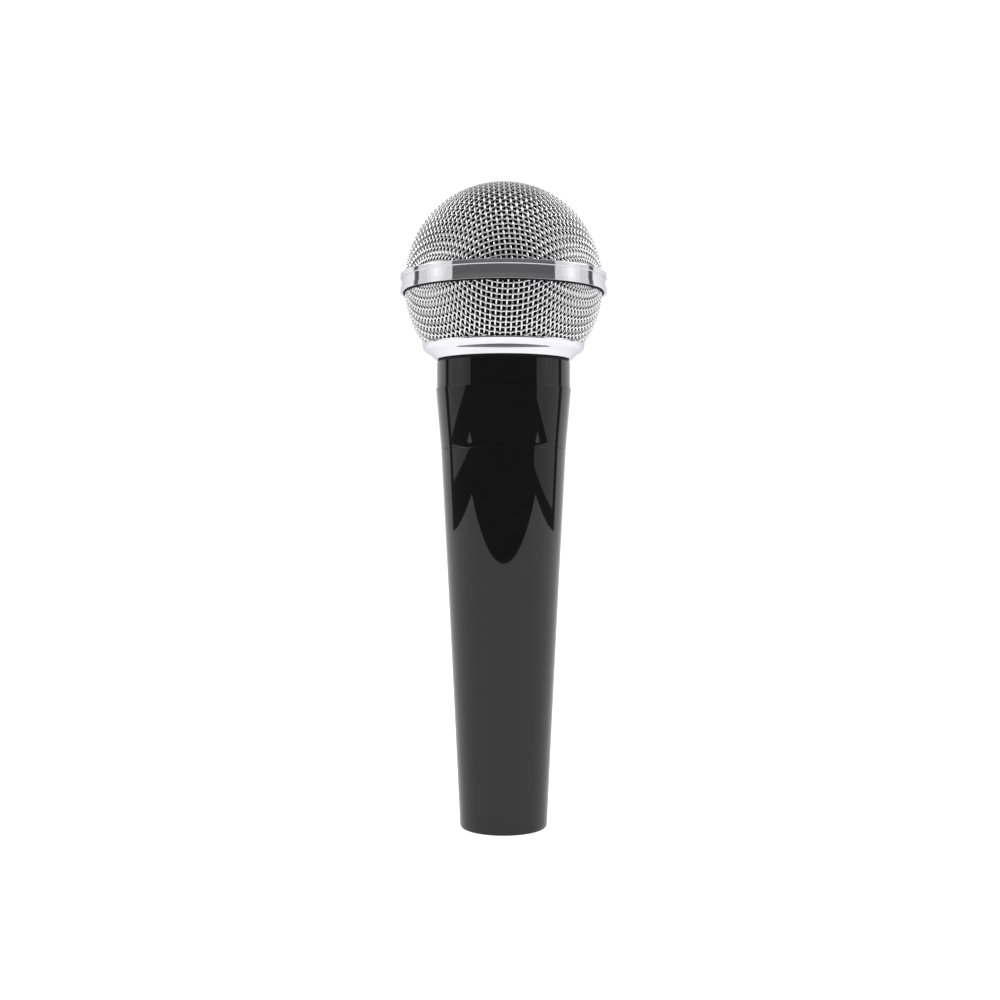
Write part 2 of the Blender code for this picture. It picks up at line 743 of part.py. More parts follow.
def make_transformer():
    half_width = CORE_WIDTH / 2.0
    half_depth = CORE_DEPTH / 2.0
    half_leg = LEG_WIDTH / 2.0
    window_low = CORE_FOOT + YOKE_HEIGHT
    window_high = CORE_TOP - YOKE_HEIGHT
    core = box(
        "transformer_core",
        (-half_width, -half_depth, CORE_FOOT), (half_width, half_depth, CORE_TOP), "steel",
    )
    for side in (-1.0, 1.0):
        across = sorted((side * half_leg, side * (half_width - half_leg)))
        window = box(
            f"core_window_{'left' if side < 0 else 'right'}",
            (across[0], -half_depth - 1.0, window_low), (across[1], half_depth + 1.0, window_high),
            "steel",
        )
        cut(core, window)
    hole_x, hole_y = half_leg + GAP, half_depth + GAP
    tube_x, tube_y = hole_x + BOBBIN_WALL, hole_y + BOBBIN_WALL
    flange_x, flange_y = half_width - half_leg - GAP, half_depth + FLANGE_REACH
    low, high = window_low + GAP, window_high - GAP
    bobbin = box(
        "transformer_bobbin", (-tube_x, -tube_y, low), (tube_x, tube_y, high), "green_plastic",
    )
    for name, foot in (("bobbin_flange_low", low), ("bobbin_flange_high", high - FLANGE_DEPTH)):
        join(bobbin, box(
            name, (-flange_x, -flange_y, foot), (flange_x, flange_y, foot + FLANGE_DEPTH),
            "green_plastic",
        ))
    cut(bobbin, box(
        "bobbin_hole", (-hole_x, -hole_y, low - 1.0), (hole_x, hole_y, high + 1.0),
        "green_plastic",
    ))
    wound_low, wound_high = low + FLANGE_DEPTH + GAP, high - FLANGE_DEPTH - GAP
    winding = box(
        "transformer_winding", (-flange_x + 0.2, -flange_y + 0.3, wound_low),
        (flange_x - 0.2, flange_y - 0.3, wound_high), "copper",
    )
    cut(winding, box(
        "winding_hole", (-tube_x - GAP, -tube_y - GAP, wound_low - 1.0),
        (tube_x + GAP, tube_y + GAP, wound_high + 1.0), "copper",
    ))
    make_cradle("cradle_lower", CORE_FOOT - CRADLE_BACK, CORE_FOOT - GAP, CORE_FOOT + CRADLE_GRIP)
    make_cradle("cradle_upper", CORE_TOP + CRADLE_BACK, CORE_TOP + GAP, CORE_TOP - CRADLE_GRIP)


def make_cradle(name, outer_end, pocket_end, core_end):
    """A round block that holds one end of the core, with holes for the leads."""
    low, high = sorted((outer_end, core_end))
    cradle = turned(
        name,
        [(0.0, low), (CRADLE_RADIUS, low), (CRADLE_RADIUS, high), (0.0, high)],
        "rubber",
        INNER_FACETS,
    )
    pocket_low, pocket_high = sorted((pocket_end, core_end + (core_end - pocket_end)))
    cut(cradle, box(
        f"{name}_pocket", (-CORE_WIDTH / 2.0 - GAP, -CORE_DEPTH / 2.0 - GAP, pocket_low),
        (CORE_WIDTH / 2.0 + GAP, CORE_DEPTH / 2.0 + GAP, pocket_high), "rubber",
    ))
    holes = rods_shape(LEAD_HOLES, LEAD_HOLE_RADIUS, low - 1.0, high + 1.0, 8)
    cut(cradle, place(f"{name}_lead_holes", holes, "rubber"))


# Socket --------------------------------------------------------------------------------------


def make_socket():
    insert = turned(
        "xlr_insert",
        [
            (0.0, INSERT_FACE), (INSERT_RADIUS - 0.4, INSERT_FACE),
            (INSERT_RADIUS, INSERT_FACE + 0.4), (INSERT_RADIUS, INSERT_TOP), (0.0, INSERT_TOP),
        ],
        "dark_plastic",
        INNER_FACETS,
    )
    holes = rods_shape(PIN_PLACES, PIN_RADIUS + GAP, INSERT_FACE - 1.0, INSERT_TOP + 1.0)
    cut(insert, place("pin_holes", holes, "dark_plastic"))
    cut(insert, screw_rod("insert_screw_hole", SCREW_HOLE, SCREW_POCKET, INSERT_RADIUS + 1.0))
    screw_rod("xlr_lock_screw", SCREW_HOLE - GAP, SCREW_POCKET + GAP, SOCKET_RADIUS + 1.1)
    for number, (where, tip) in enumerate(zip(PIN_PLACES, PIN_TIPS), start=1):
        turned(
            f"xlr_pin_{number}",
            [
                (0.0, tip), (0.5, tip + 0.08), (0.95, tip + 0.4), (PIN_RADIUS, tip + 1.0),
                (PIN_RADIUS, INSERT_TOP + 0.6), (PIN_NECK, INSERT_TOP + 1.0), (PIN_NECK, PIN_TAIL),
                (0.0, PIN_TAIL),
            ],
            "silver",
            SMALL_FACETS,
            at=(*where, 0.0),
        )
    clip_reach = math.hypot(*PIN_PLACES[0])
    wall = handle_radius(SOCKET_TOP) - HANDLE_WALL
    clip = [
        (clip_reach + PIN_NECK + GAP, SOCKET_TOP + GAP), (wall - GAP - 0.5, SOCKET_TOP + GAP),
        (wall - GAP, SOCKET_TOP + CLIP_RISE),
    ]
    clip_angle = math.degrees(math.atan2(PIN_PLACES[0][1], PIN_PLACES[0][0]))
    strip = strip_shape(clip, CLIP_THICKNESS, CLIP_WIDTH)
    place("xlr_ground_clip", strip, "brass", turn=clip_angle)


# Leads ---------------------------------------------------------------------------------------


def smooth_path(route):
    """Evenly spaced points on a smooth curve through the route's own points."""
    knots = [Vector(point) for point in route]
    knots = [2.0 * knots[0] - knots[1]] + knots + [2.0 * knots[-1] - knots[-2]]
    fine = []
    pieces = 24
    for a, b, c, d in zip(knots, knots[1:], knots[2:], knots[3:]):
        for i in range(pieces):
            t = i / pieces
            fine.append(0.5 * (
                2.0 * b + (c - a) * t + (2.0 * a - 5.0 * b + 4.0 * c - d) * t ** 2
                + (3.0 * b - a - 3.0 * c + d) * t ** 3
            ))
    fine.append(knots[-2])
    length = sum((q - p).length for p, q in zip(fine, fine[1:]))
    count = max(2, round(length / LEAD_SPACING))
    points = [fine[0]]
    run = 0.0
    for p, q in zip(fine, fine[1:]):
        run += (q - p).length
        if run >= length * len(points) / count and len(points) < count:
            points.append(q)
    return points + [fine[-1]]


def lead(name, route, finish):
    """An insulated lead: a tube along a smooth path, with closed ends."""
    curve = bpy.data.curves.new(name, "CURVE")
    curve.dimensions = "3D"
    curve.bevel_depth = LEAD_RADIUS * MM
    curve.bevel_resolution = 2
    curve.use_fill_caps = True
    path = smooth_path(route)
    spline = curve.splines.new("POLY")
    spline.points.add(len(path) - 1)
    for point, place_on_path in zip(spline.points, path):
        point.co = (*(place_on_path * MM), 1.0)
    curve.materials.append(material_for(name, finish))
    made = bpy.data.objects.new(name, curve)
    bpy.context.scene.collection.objects.link(made)


def make_leads():
    """Two leads from the capsule's lugs to the transformer and three from it to the pins. Each
    has a slack bend, and runs beside a lug so that the capsule can move past it."""
    beside = LUG_DEPTH / 2.0 + 0.35 + LEAD_RADIUS
    flange_high = CORE_TOP - YOKE_HEIGHT
    sides = ((-1.0, "yellow_cover"), (1.0, "red_cover"))
    for number, (side, finish) in enumerate(sides, start=1):
        hole = LEAD_HOLES[number - 1]
        x = side * TERMINAL_PLACE
        lead(
            f"capsule_lead_{number}",
            [
                (x, -beside, LUG_FOOT + 3.0), (x, -beside, LUG_FOOT), (x * 1.6, -2.6, 74.5),
                (x * 1.2, -5.4, 71.5), (*hole, 68.0), (*hole, flange_high + 1.2),
            ],
            finish,
        )
    flange_low = CORE_FOOT + YOKE_HEIGHT
    finishes = ("white_cover", "red_cover", "yellow_cover")
    for number, (pin, finish) in enumerate(zip(PIN_PLACES, finishes), start=1):
        hole = LEAD_HOLES[number - 1]
        lead(
            f"xlr_lead_{number}",
            [
                (pin[0], pin[1], PIN_TAIL + GAP), (pin[0], pin[1], PIN_TAIL + 3.0),
                (pin[0] * 1.25 + 0.4, pin[1] * 0.6, 33.0), (hole[0], hole[1] * 0.75, 40.0),
                (*hole, 45.5), (*hole, flange_low - 0.2),
            ],
            finish,
        )


def main():
    clear_scene()
    make_grille()
    make_washer()
    make_capsule()
    make_moving_system()
    make_head_sleeve()
    make_upper_handle()
    make_lower_handle()
    make_shock_mount()
    make_transformer()
    make_socket()
    make_leads()


main()
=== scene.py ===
"""The looks of a handheld dynamic microphone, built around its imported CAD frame.

Lengths in this file are millimetres, and every mesh is scaled to metres as it is made. The sizes
that the CAD settles are read from the frame; the constants below are the fine shapes and the
finishes that it leaves out.
"""

import math

import bmesh
import bpy
import numpy as np
from mathutils import Matrix, Vector, noise


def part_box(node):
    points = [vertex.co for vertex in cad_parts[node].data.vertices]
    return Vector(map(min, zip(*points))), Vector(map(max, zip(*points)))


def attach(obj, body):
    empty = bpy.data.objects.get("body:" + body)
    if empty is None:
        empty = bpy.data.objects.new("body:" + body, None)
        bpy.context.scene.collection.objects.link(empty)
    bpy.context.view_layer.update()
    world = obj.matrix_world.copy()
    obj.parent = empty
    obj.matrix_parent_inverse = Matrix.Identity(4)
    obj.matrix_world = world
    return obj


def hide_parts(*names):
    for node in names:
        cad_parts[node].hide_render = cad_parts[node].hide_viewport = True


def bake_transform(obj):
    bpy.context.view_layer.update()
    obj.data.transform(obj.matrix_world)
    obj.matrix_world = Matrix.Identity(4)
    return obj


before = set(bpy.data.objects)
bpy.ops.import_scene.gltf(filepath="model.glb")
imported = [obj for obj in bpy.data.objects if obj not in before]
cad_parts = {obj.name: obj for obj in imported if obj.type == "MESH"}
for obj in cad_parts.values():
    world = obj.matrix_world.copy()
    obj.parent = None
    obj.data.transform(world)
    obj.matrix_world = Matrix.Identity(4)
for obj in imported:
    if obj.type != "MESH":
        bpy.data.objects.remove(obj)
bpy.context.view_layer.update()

MM = 0.001
TURN = 2.0 * math.pi
GAP = 0.3               # between two CAD pieces that touch

# Facets and rounding
FINE_FACETS = 256
ROUND_FACETS = 192
SMALL_FACETS = 48
FILLET_STEPS = 5
GUARD = 0.06            # a point this close to each fillet keeps the flats next to it flat
SHARP = 35.0            # degrees at an edge from which it is shaded as a sharp one
SOFT = 60.0             # the same for pieces with tight curves all over
PAST = 1.0              # how far a cutter runs past the face that it opens

# Woven wire of the grille
WARP_SPACING = 1.245    # between the wires that run up the front
WEFT_SPACING = 1.30     # between the wires that run across it
WIRE_RADIUS = 0.20
WIRE_RISE = 0.13        # half the thickness of a wire: the cloth has been rolled flat
WARP_CRIMP = 0.135      # how far a wire swings to each side of the ball's middle surface
WEFT_CRIMP = 0.15
WIRE_SIDES = 8
WIRE_STEPS = 5          # rings of points from one crossing to the next
DOME_TWIST = 0.035      # how the cloth is dragged round towards its rim, in radians at 1 radian
CUP_TWIST = -0.02

# Band and collar
BAND_WALL = 0.7
BAND_LIP = 1.15
BAND_GROOVE = 0.35      # depth of the hollow between the two lips
BAND_LEAN = 0.06        # how far each lip's side leans in
COLLAR_BORE = 15.8
COLLAR_SPIGOT = 18.15
SPIGOT_HEIGHT = 2.1
# Radius, height over the foot, and fillet of the bends of the collar's cone
COLLAR_CONE = ((16.65, 0.0, 0.05), (18.12, 1.4, 0.75), (19.63, 2.2, 0.75))

# Thread between the head sleeve and the collar
THREAD_PITCH = 1.5
THREAD_START = 115.5
THREAD_TURNS = 2.3
THREAD_FACETS = 96
RIDGE_FOOT = 0.8
RIDGE_CREST = 0.25
MALE_ROOT = 14.6
MALE_CREST = 15.4
FEMALE_CREST = 15.0

# Foam lining
DOME_FOAM_DEPTH = 3.5
CUP_FOAM_DEPTH = 2.2
FOAM_FACETS = 300
FOAM_PRESS = 1.0        # how far the foam swells past its CAD solid, in between the wires

# Handle
BASE_RADIUS = 10.69
HANDLE_SWELL = 0.2
SEAM = 92.8
SOCKET_RADIUS = 8.2
SCREW_HEIGHT = 17.8
SCREW_RADIUS = 1.35
LEAD_HOLES = ((-3.4, -7.6), (3.4, -7.6), (0.0, 7.6))    # through the two cradles

# Camera: level, a little above half the microphone's height
CAMERA_PLACE = (-0.87, -342.0, 80.3)
CAMERA_LENS = 50.0
CAMERA_SENSOR = 36.0


# Sizes from the frame ------------------------------------------------------------------------


def reach(node):
    """Outer radius of a round CAD node, in mm."""
    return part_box(node)[1].x / MM


def foot(node):
    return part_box(node)[0].z / MM


def top(node):
    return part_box(node)[1].z / MM


def span(node):
    """Foot, top and outer radius of a round CAD node, in mm."""
    return foot(node), top(node), reach(node)


def corners(node):
    """The lowest and the highest corner of a CAD node, in mm."""
    low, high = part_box(node)
    return Vector(low) / MM, Vector(high) / MM


# Meshes --------------------------------------------------------------------------------------


def add_object(name, data):
    made = bpy.data.objects.new(name, data)
    bpy.context.scene.collection.objects.link(made)
    return made


def add_piece(mesh, material, body, node):
    """Links a mesh as a piece that rides on a body and stands for a CAD node."""
    piece = add_object(mesh.name, mesh)
    mesh.materials.clear()
    mesh.materials.append(material)
    if body:
        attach(piece, body)
    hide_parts(node)
    return piece


def smooth(mesh, sharp):
    mesh.shade_smooth()
    if sharp:
        mesh.set_sharp_from_angle(angle=math.radians(sharp))
    return mesh


def mesh_of(name, points, faces, sharp=SHARP):
    mesh = bpy.data.meshes.new(name)
    mesh.from_pydata((np.asarray(points) * MM).tolist(), [], faces)
    return smooth(mesh, sharp)


def ring_faces(rings):
    """The faces between each ring of point numbers and the next one."""
    faces = []
    for low, high in zip(rings, rings[1:]):
        for i in range(len(low)):
            k = (i + 1) % len(low)
            faces.append(tuple(dict.fromkeys((low[i], low[k], high[k], high[i]))))
    return faces


def rod_faces(rings):
    """The faces of a solid with a ring of points at each step and flat ends."""
    return ring_faces(rings) + [tuple(rings[0])[::-1], tuple(rings[-1])]


def taken_from(shape, name):
    """A mesh with what is in a bmesh, which is freed."""
    mesh = bpy.data.meshes.new(name)
    shape.to_mesh(mesh)
    shape.free()
    return mesh


def outward(mesh, sharp=SHARP):
    """Turns every face of a closed mesh outwards and marks its sharp edges."""
    shape = bmesh.new()
    shape.from_mesh(mesh)
    bmesh.ops.recalc_face_normals(shape, faces=shape.faces)
    shape.to_mesh(mesh)
    shape.free()
    return smooth(mesh, sharp)


def rounded(outline, closed=True):
    """An outline whose points may carry a third value, the length that a fillet takes off each
    side of that corner. Guard points keep the stretches between the fillets straight."""
    points = []
    last = len(outline) - 1
    for i, corner in enumerate(outline):
        at = Vector(corner[:2])
        cut = corner[2] if len(corner) > 2 else 0.0
        if cut == 0.0 or (not closed and i in (0, last)):
            points.append(tuple(at))
            continue
        before = Vector(outline[i - 1][:2]) - at
        after = Vector(outline[(i + 1) % len(outline)][:2]) - at
        long_side = 4.0 * cut
        start = at + before.normalized() * cut
        end = at + after.normalized() * cut
        if before.length > long_side:
            points.append(tuple(start + before.normalized() * min(GUARD, cut)))
        for step in range(FILLET_STEPS + 1):
            t = step / FILLET_STEPS
            points.append(tuple(start * (1 - t) ** 2 + at * 2 * t * (1 - t) + end * t ** 2))
        if after.length > long_side:
            points.append(tuple(end + after.normalized() * min(GUARD, cut)))
    return points


def turned_mesh(name, outline, facets=ROUND_FACETS, sharp=SHARP, at=(0.0, 0.0)):
    """A body of revolution from an outline of (r, z) or (r, z, fillet) points. An outline that
    starts and ends on the axis is closed by the axis; any other is closed by its last side."""
    on_axis = outline[0][0] == 0.0 and outline[-1][0] == 0.0
    profile = rounded(outline, closed=not on_axis)
    angles = np.arange(facets) * TURN / facets
    points, rings = [], []
    for r, z in profile:
        if r == 0.0:
            rings.append([len(points)] * facets)
            points.append((at[0], at[1], z))
        else:
            rings.append(list(range(len(points), len(points) + facets)))
            points += [(at[0] + r * math.cos(a), at[1] + r * math.sin(a), z) for a in angles]
    if not on_axis:
        rings.append(rings[0])
    return outward(mesh_of(name, points, ring_faces(rings), sharp=0), sharp)


def ring_outline(low, high, inner, outer, fillet=0.1):
    """A plain ring, with a fillet on its two outer edges."""
    return [(inner, low, 0.1), (outer, low, fillet), (outer, high, fillet), (inner, high, 0.1)]


def tubes_mesh(name, paths, radius, sides, rise=None):
    """Closed tubes. Each path is (points, outward directions), as arrays. They are round, or
    flattened to half a thickness of rise along the outward directions."""
    rise = radius if rise is None else rise
    points, faces = [], []
    angles = np.arange(sides) * TURN / sides
    for path, ups in paths:
        along = np.gradient(path, axis=0)
        along /= np.linalg.norm(along, axis=1)[:, None]
        across = np.cross(along, ups)
        across /= np.linalg.norm(across, axis=1)[:, None]
        lift = np.cross(across, along)
        rings = (
            path[:, None] + rise * np.cos(angles)[None, :, None] * lift[:, None]
            + radius * np.sin(angles)[None, :, None] * across[:, None]
        )
        first = len(points)
        count = len(path)
        points.extend(rings.reshape(-1, 3))
        starts = first + sides * np.arange(count - 1)
        for i in range(sides):
            k = (i + 1) % sides
            quads = np.stack([starts + i, starts + k, starts + sides + k, starts + sides + i], 1)
            faces.extend(map(tuple, quads.tolist()))
        faces.append(tuple(first + i for i in range(sides))[::-1])
        faces.append(tuple(first + sides * (count - 1) + i for i in range(sides)))
    return mesh_of(name, points, faces, sharp=SOFT)


def box_mesh(name, low, high, bevel):
    """A block with rounded edges."""
    shape = bmesh.new()
    size = [b - a for a, b in zip(low, high)]
    centre = [(a + b) / 2.0 for a, b in zip(low, high)]
    place = Matrix.Translation(centre) @ Matrix.Diagonal((*size, 1.0))
    bmesh.ops.create_cube(shape, size=1.0, matrix=place)
    if bevel:
        bmesh.ops.bevel(shape, geom=shape.edges[:], offset=bevel, segments=3, affect="EDGES")
    bmesh.ops.scale(shape, vec=(MM, MM, MM), verts=shape.verts)
    return smooth(taken_from(shape, name), SHARP)


def rod_mesh(name, start, end, radius):
    """A plain rod between two points."""
    start, end = Vector(start), Vector(end)
    shape = bmesh.new()
    turn = (end - start).to_track_quat("Z", "Y").to_matrix().to_4x4()
    bmesh.ops.create_cone(
        shape, cap_ends=True, segments=SMALL_FACETS, radius1=radius * MM, radius2=radius * MM,
        depth=(end - start).length * MM,
        matrix=Matrix.Translation((start + end) / 2.0 * MM) @ turn,
    )
    return taken_from(shape, name)


def rods_mesh(name, places, radius, low, high, flare=0.0):
    """Upright rods, each wider by flare at its foot: the cutter for a set of holes."""
    points, faces = [], []
    for x, y in places:
        rings = []
        for r, z in ((radius + flare, low), (radius, low + flare), (radius, high)):
            rings.append(range(len(points), len(points) + SMALL_FACETS))
            for i in range(SMALL_FACETS):
                angle = TURN * i / SMALL_FACETS
                points.append((x + r * math.cos(angle), y + r * math.sin(angle), z))
        faces += rod_faces(rings)
    return outward(mesh_of(name, points, faces, sharp=0))


def carved(mesh, tool, operation="DIFFERENCE"):
    """The mesh with a tool cut from it, or joined on to it."""
    target = add_object("carving", mesh)
    cutter = add_object("cutter", tool)
    step = target.modifiers.new("carve", "BOOLEAN")
    step.operation = operation
    step.object = cutter
    bpy.context.view_layer.update()
    name, graph = mesh.name, bpy.context.evaluated_depsgraph_get()
    result = bpy.data.meshes.new_from_object(target.evaluated_get(graph))
    for made, source in ((target, mesh), (cutter, tool)):
        bpy.data.objects.remove(made, do_unlink=True)
        bpy.data.meshes.remove(source)
    result.name = name
    return smooth(result, SHARP)


def ridge_mesh(name, root, crest, first_height, turns):
    """A right-handed thread ridge, sunk a little into its wall, with ends that fade into it."""
    sunk = math.copysign(0.2, crest - root)
    hidden = root - sunk * 0.4      # radius of the crest at both ends, just inside the wall
    steps = round(turns * THREAD_FACETS)
    fade = THREAD_FACETS // 8
    points = []
    for i in range(steps + 1):
        rise = min(1.0, min(i, steps - i) / fade)
        angle = TURN * i / THREAD_FACETS
        height = first_height + THREAD_PITCH * i / THREAD_FACETS
        peak = hidden + (crest - hidden) * rise
        section = (
            (root - sunk, -RIDGE_FOOT / 2.0), (peak, -RIDGE_CREST / 2.0),
            (peak, RIDGE_CREST / 2.0), (root - sunk, RIDGE_FOOT / 2.0),
        )
        points += [(r * math.cos(angle), r * math.sin(angle), height + z) for r, z in section]
    rings = [range(4 * i, 4 * i + 4) for i in range(steps + 1)]
    return outward(mesh_of(name, points, rod_faces(rings), sharp=0))


# Finishes ------------------------------------------------------------------------------------


class NodeTree:
    """The nodes of a material or a world, each made and joined in one call."""

    def __init__(self, tree):
        self.tree = tree

    def node(self, kind, inputs, output=0, **settings):
        """The output of a new node. Its inputs, by name or number, each take a value or the
        output of another node."""
        made = self.tree.nodes.new("ShaderNode" + kind)
        for key, value in settings.items():
            setattr(made, key, value)
        for key, value in inputs.items():
            if isinstance(value, bpy.types.NodeSocket):
                self.tree.links.new(value, made.inputs[key])
            else:
                made.inputs[key].default_value = value
        return made.outputs[output] if made.outputs else None

    def ramp(self, source, start, end, low=0.0, high=1.0):
        """A smooth step from low to high, as the source goes from start to end."""
        inputs = {
            "Value": source, "From Min": start, "From Max": end, "To Min": low, "To Max": high,
        }
        return self.node("MapRange", inputs, interpolation_type="SMOOTHSTEP")


class Finish(NodeTree):
    """A material on one Principled shader, with its texture nodes in the frame's coordinates."""

    def __init__(self, name, **values):
        self.material = bpy.data.materials.new(name)
        self.material.use_nodes = True
        super().__init__(self.material.node_tree)
        self.shader = self.tree.nodes["Principled BSDF"]
        self.place = self.node("TexCoord", {}, "Object")
        for socket, value in values.items():
            self.shader.inputs[socket.replace("_", " ")].default_value = value

    def feed(self, source, socket):
        self.tree.links.new(source, self.shader.inputs[socket])

    def spread(self, scale, stretch=(1.0, 1.0, 1.0)):
        """The place, with scale units to the millimetre."""
        factors = [s * scale / MM for s in stretch]
        return self.node("VectorMath", {0: self.place, 1: factors}, operation="MULTIPLY")

    def noise(self, scale, detail=3.0, stretch=(1.0, 1.0, 1.0)):
        """Noise with scale cells to the millimetre."""
        place = self.spread(scale, stretch)
        return self.node("TexNoise", {"Scale": 1.0, "Detail": detail, "Vector": place}, "Fac")

    def cells(self, scale):
        """Distance to the nearest of scattered points, scale of them to the millimetre."""
        inputs = {"Scale": 1.0, "Vector": self.spread(scale)}
        return self.node("TexVoronoi", inputs, "Distance")

    def colours(self, source, stops):
        """Base colour from a source value, by (position, (r, g, b)) stops."""
        ramp = self.tree.nodes.new("ShaderNodeValToRGB")
        for element, (position, colour) in zip(ramp.color_ramp.elements, stops):
            element.position = position
            element.color = (*colour, 1.0)
        self.tree.links.new(source, ramp.inputs["Fac"])
        self.feed(ramp.outputs["Color"], "Base Color")

    def roughness(self, source, low, high):
        scaled = self.node("MapRange", {"Value": source, "To Min": low, "To Max": high})
        self.feed(scaled, "Roughness")

    def bump(self, source, depth, strength=1.0):
        """Bump from a source value, depth in mm."""
        inputs = {"Strength": strength, "Distance": depth * MM, "Height": source}
        self.feed(self.node("Bump", inputs), "Normal")


def lacquer():
    """Deep black lacquer, glossy, with faint blotches in its tone and its gloss."""
    made = Finish("black_lacquer", IOR=1.5)
    cloud = made.noise(0.15)
    made.colours(cloud, [(0.35, (0.0042, 0.0042, 0.0043)), (0.65, (0.0052, 0.0052, 0.0053))])
    made.roughness(made.noise(0.6), 0.008, 0.03)
    return made.material


def chrome():
    """Bright nickel-chrome plate with light polishing marks round the ring."""
    made = Finish("chrome_plate", Metallic=1.0, Specular_Tint=(0.72, 0.72, 0.76, 1.0))
    made.colours(made.noise(0.2), [(0.3, (0.86, 0.855, 0.885)), (0.7, (0.91, 0.905, 0.935))])
    made.roughness(made.noise(0.5, 4.0, (1.0, 1.0, 12.0)), 0.02, 0.08)
    return made.material


def wire_finish():
    """Bright nickel-plated wire."""
    made = Finish("bright_wire", Metallic=1.0)
    made.colours(made.noise(0.8), [(0.3, (0.92, 0.92, 0.93)), (0.7, (0.98, 0.98, 0.985))])
    made.roughness(made.noise(3.0), 0.07, 0.14)
    return made.material


def foam_finish():
    made = Finish("open_cell_foam", Specular_IOR_Level=0.0)
    cells = made.cells(1.6)
    # Each pore is darkest at its middle, where the bump sinks it: painted shade in the pores.
    made.colours(cells, [(0.1, (0.002, 0.002, 0.002)), (0.6, (0.010, 0.010, 0.011))])
    made.roughness(made.noise(2.0), 0.9, 1.0)
    made.bump(cells, 0.25)
    return made.material


METAL = {"Metallic": 1.0}
EVEN = (1, 1, 1)

# The finishes that differ only in their numbers: darkest and lightest colour, noise cells to the
# millimetre and how they are stretched, lowest and highest roughness, bump in mm, shader values.
PLAIN_FINISHES = {
    "rubber": (
        (0.008, 0.008, 0.008), (0.016, 0.016, 0.017), 1.5, EVEN, 0.55, 0.75, 0.02,
        {"Specular_IOR_Level": 0.25},
    ),
    "blackened_zinc": (
        (0.012, 0.012, 0.013), (0.03, 0.03, 0.031), 0.8, (1, 1, 3), 0.45, 0.65, 0.008, {},
    ),
    "moulded_plastic": (
        (0.018, 0.018, 0.020), (0.030, 0.030, 0.033), 2.5, EVEN, 0.38, 0.55, 0.012, {},
    ),
    "bobbin_plastic": ((0.015, 0.14, 0.08), (0.03, 0.21, 0.12), 1.2, EVEN, 0.3, 0.45, 0.01, {}),
    "felt": ((0.36, 0.33, 0.27), (0.58, 0.55, 0.47), 5.0, (1, 1, 3), 0.9, 1.0, 0.08, {}),
    "polyester_film": (
        (0.72, 0.68, 0.55), (0.82, 0.79, 0.68), 0.5, EVEN, 0.08, 0.2, 0.002,
        {"Transmission_Weight": 0.7, "IOR": 1.6},
    ),
    "enamelled_copper": (
        (0.60, 0.20, 0.07), (0.80, 0.36, 0.16), 0.9, (1, 1, 6), 0.2, 0.35, 0.006, METAL,
    ),
    "brass": ((0.68, 0.50, 0.20), (0.82, 0.64, 0.30), 0.6, (1, 1, 4), 0.2, 0.4, 0.004, METAL),
    "satin_steel": (
        (0.42, 0.42, 0.43), (0.58, 0.58, 0.60), 0.7, (1, 1, 8), 0.25, 0.45, 0.005, METAL,
    ),
    "sheet_steel": ((0.30, 0.30, 0.32), (0.50, 0.50, 0.52), 0.5, (1, 9, 1), 0.3, 0.5, 0.005, METAL),
    "magnet_plate": ((0.24, 0.24, 0.26), (0.38, 0.38, 0.40), 0.6, EVEN, 0.3, 0.5, 0.006, METAL),
    "paper_board": ((0.26, 0.14, 0.05), (0.42, 0.25, 0.11), 0.7, (6, 1, 1), 0.5, 0.7, 0.01, {}),
    "silver_plate": (
        (0.72, 0.71, 0.68), (0.88, 0.87, 0.84), 0.6, (1, 1, 4), 0.12, 0.3, 0.003, METAL,
    ),
    "red_cover": ((0.42, 0.02, 0.02), (0.55, 0.04, 0.035), 0.8, EVEN, 0.35, 0.5, 0.006, {}),
    "white_cover": ((0.62, 0.62, 0.60), (0.75, 0.75, 0.73), 0.8, EVEN, 0.35, 0.5, 0.006, {}),
    "yellow_cover": ((0.68, 0.46, 0.03), (0.80, 0.60, 0.07), 0.8, EVEN, 0.35, 0.5, 0.006, {}),
}


def plain_finish(name):
    dark, light, scale, stretch, smoothest, roughest, depth, values = PLAIN_FINISHES[name]
    made = Finish(name, **values)
    grain = made.noise(scale, 4.0, stretch)
    made.colours(grain, [(0.3, dark), (0.7, light)])
    made.roughness(made.noise(scale * 0.6, 3.0, stretch), smoothest, roughest)
    made.bump(made.noise(scale * 3.0, 3.0, stretch), depth, 0.6)
    return made.material


# Grille --------------------------------------------------------------------------------------


def wire_net(radius, spacings, counts):
    """Crossings of a net of straight-laid wires pressed over a ball, as unit vectors [i, j].

    The wires through the pole run straight. Every other crossing closes a parallelogram whose
    sides keep the wires' spacings, so it is its opposite corner turned half round their middle.
    """
    quarter = np.zeros((counts[0] + 1, counts[1] + 1, 3))
    for i in range(counts[0] + 1):
        angle = i * spacings[0] / radius
        quarter[i, 0] = (math.sin(angle), 0.0, math.cos(angle))
    for j in range(counts[1] + 1):
        angle = j * spacings[1] / radius
        quarter[0, j] = (0.0, math.sin(angle), math.cos(angle))
    for i in range(1, counts[0] + 1):
        for j in range(1, counts[1] + 1):
            middle = quarter[i - 1, j] + quarter[i, j - 1]
            middle /= np.linalg.norm(middle)
            corner = quarter[i - 1, j - 1]
            quarter[i, j] = 2.0 * (corner @ middle) * middle - corner
    half = np.concatenate([quarter[:0:-1] * (-1.0, 1.0, 1.0), quarter])
    return np.concatenate([half[:, :0:-1] * (1.0, -1.0, 1.0), half], axis=1)


def twisted(rows, twist):
    """Unit vectors turned about the pole, more and more towards the rim."""
    turns = twist * np.arccos(np.clip(rows[..., 2], -1.0, 1.0)) ** 2
    x = rows[..., 0] * np.cos(turns) - rows[..., 1] * np.sin(turns)
    y = rows[..., 0] * np.sin(turns) + rows[..., 1] * np.cos(turns)
    return np.stack([x, y, rows[..., 2]], axis=-1)


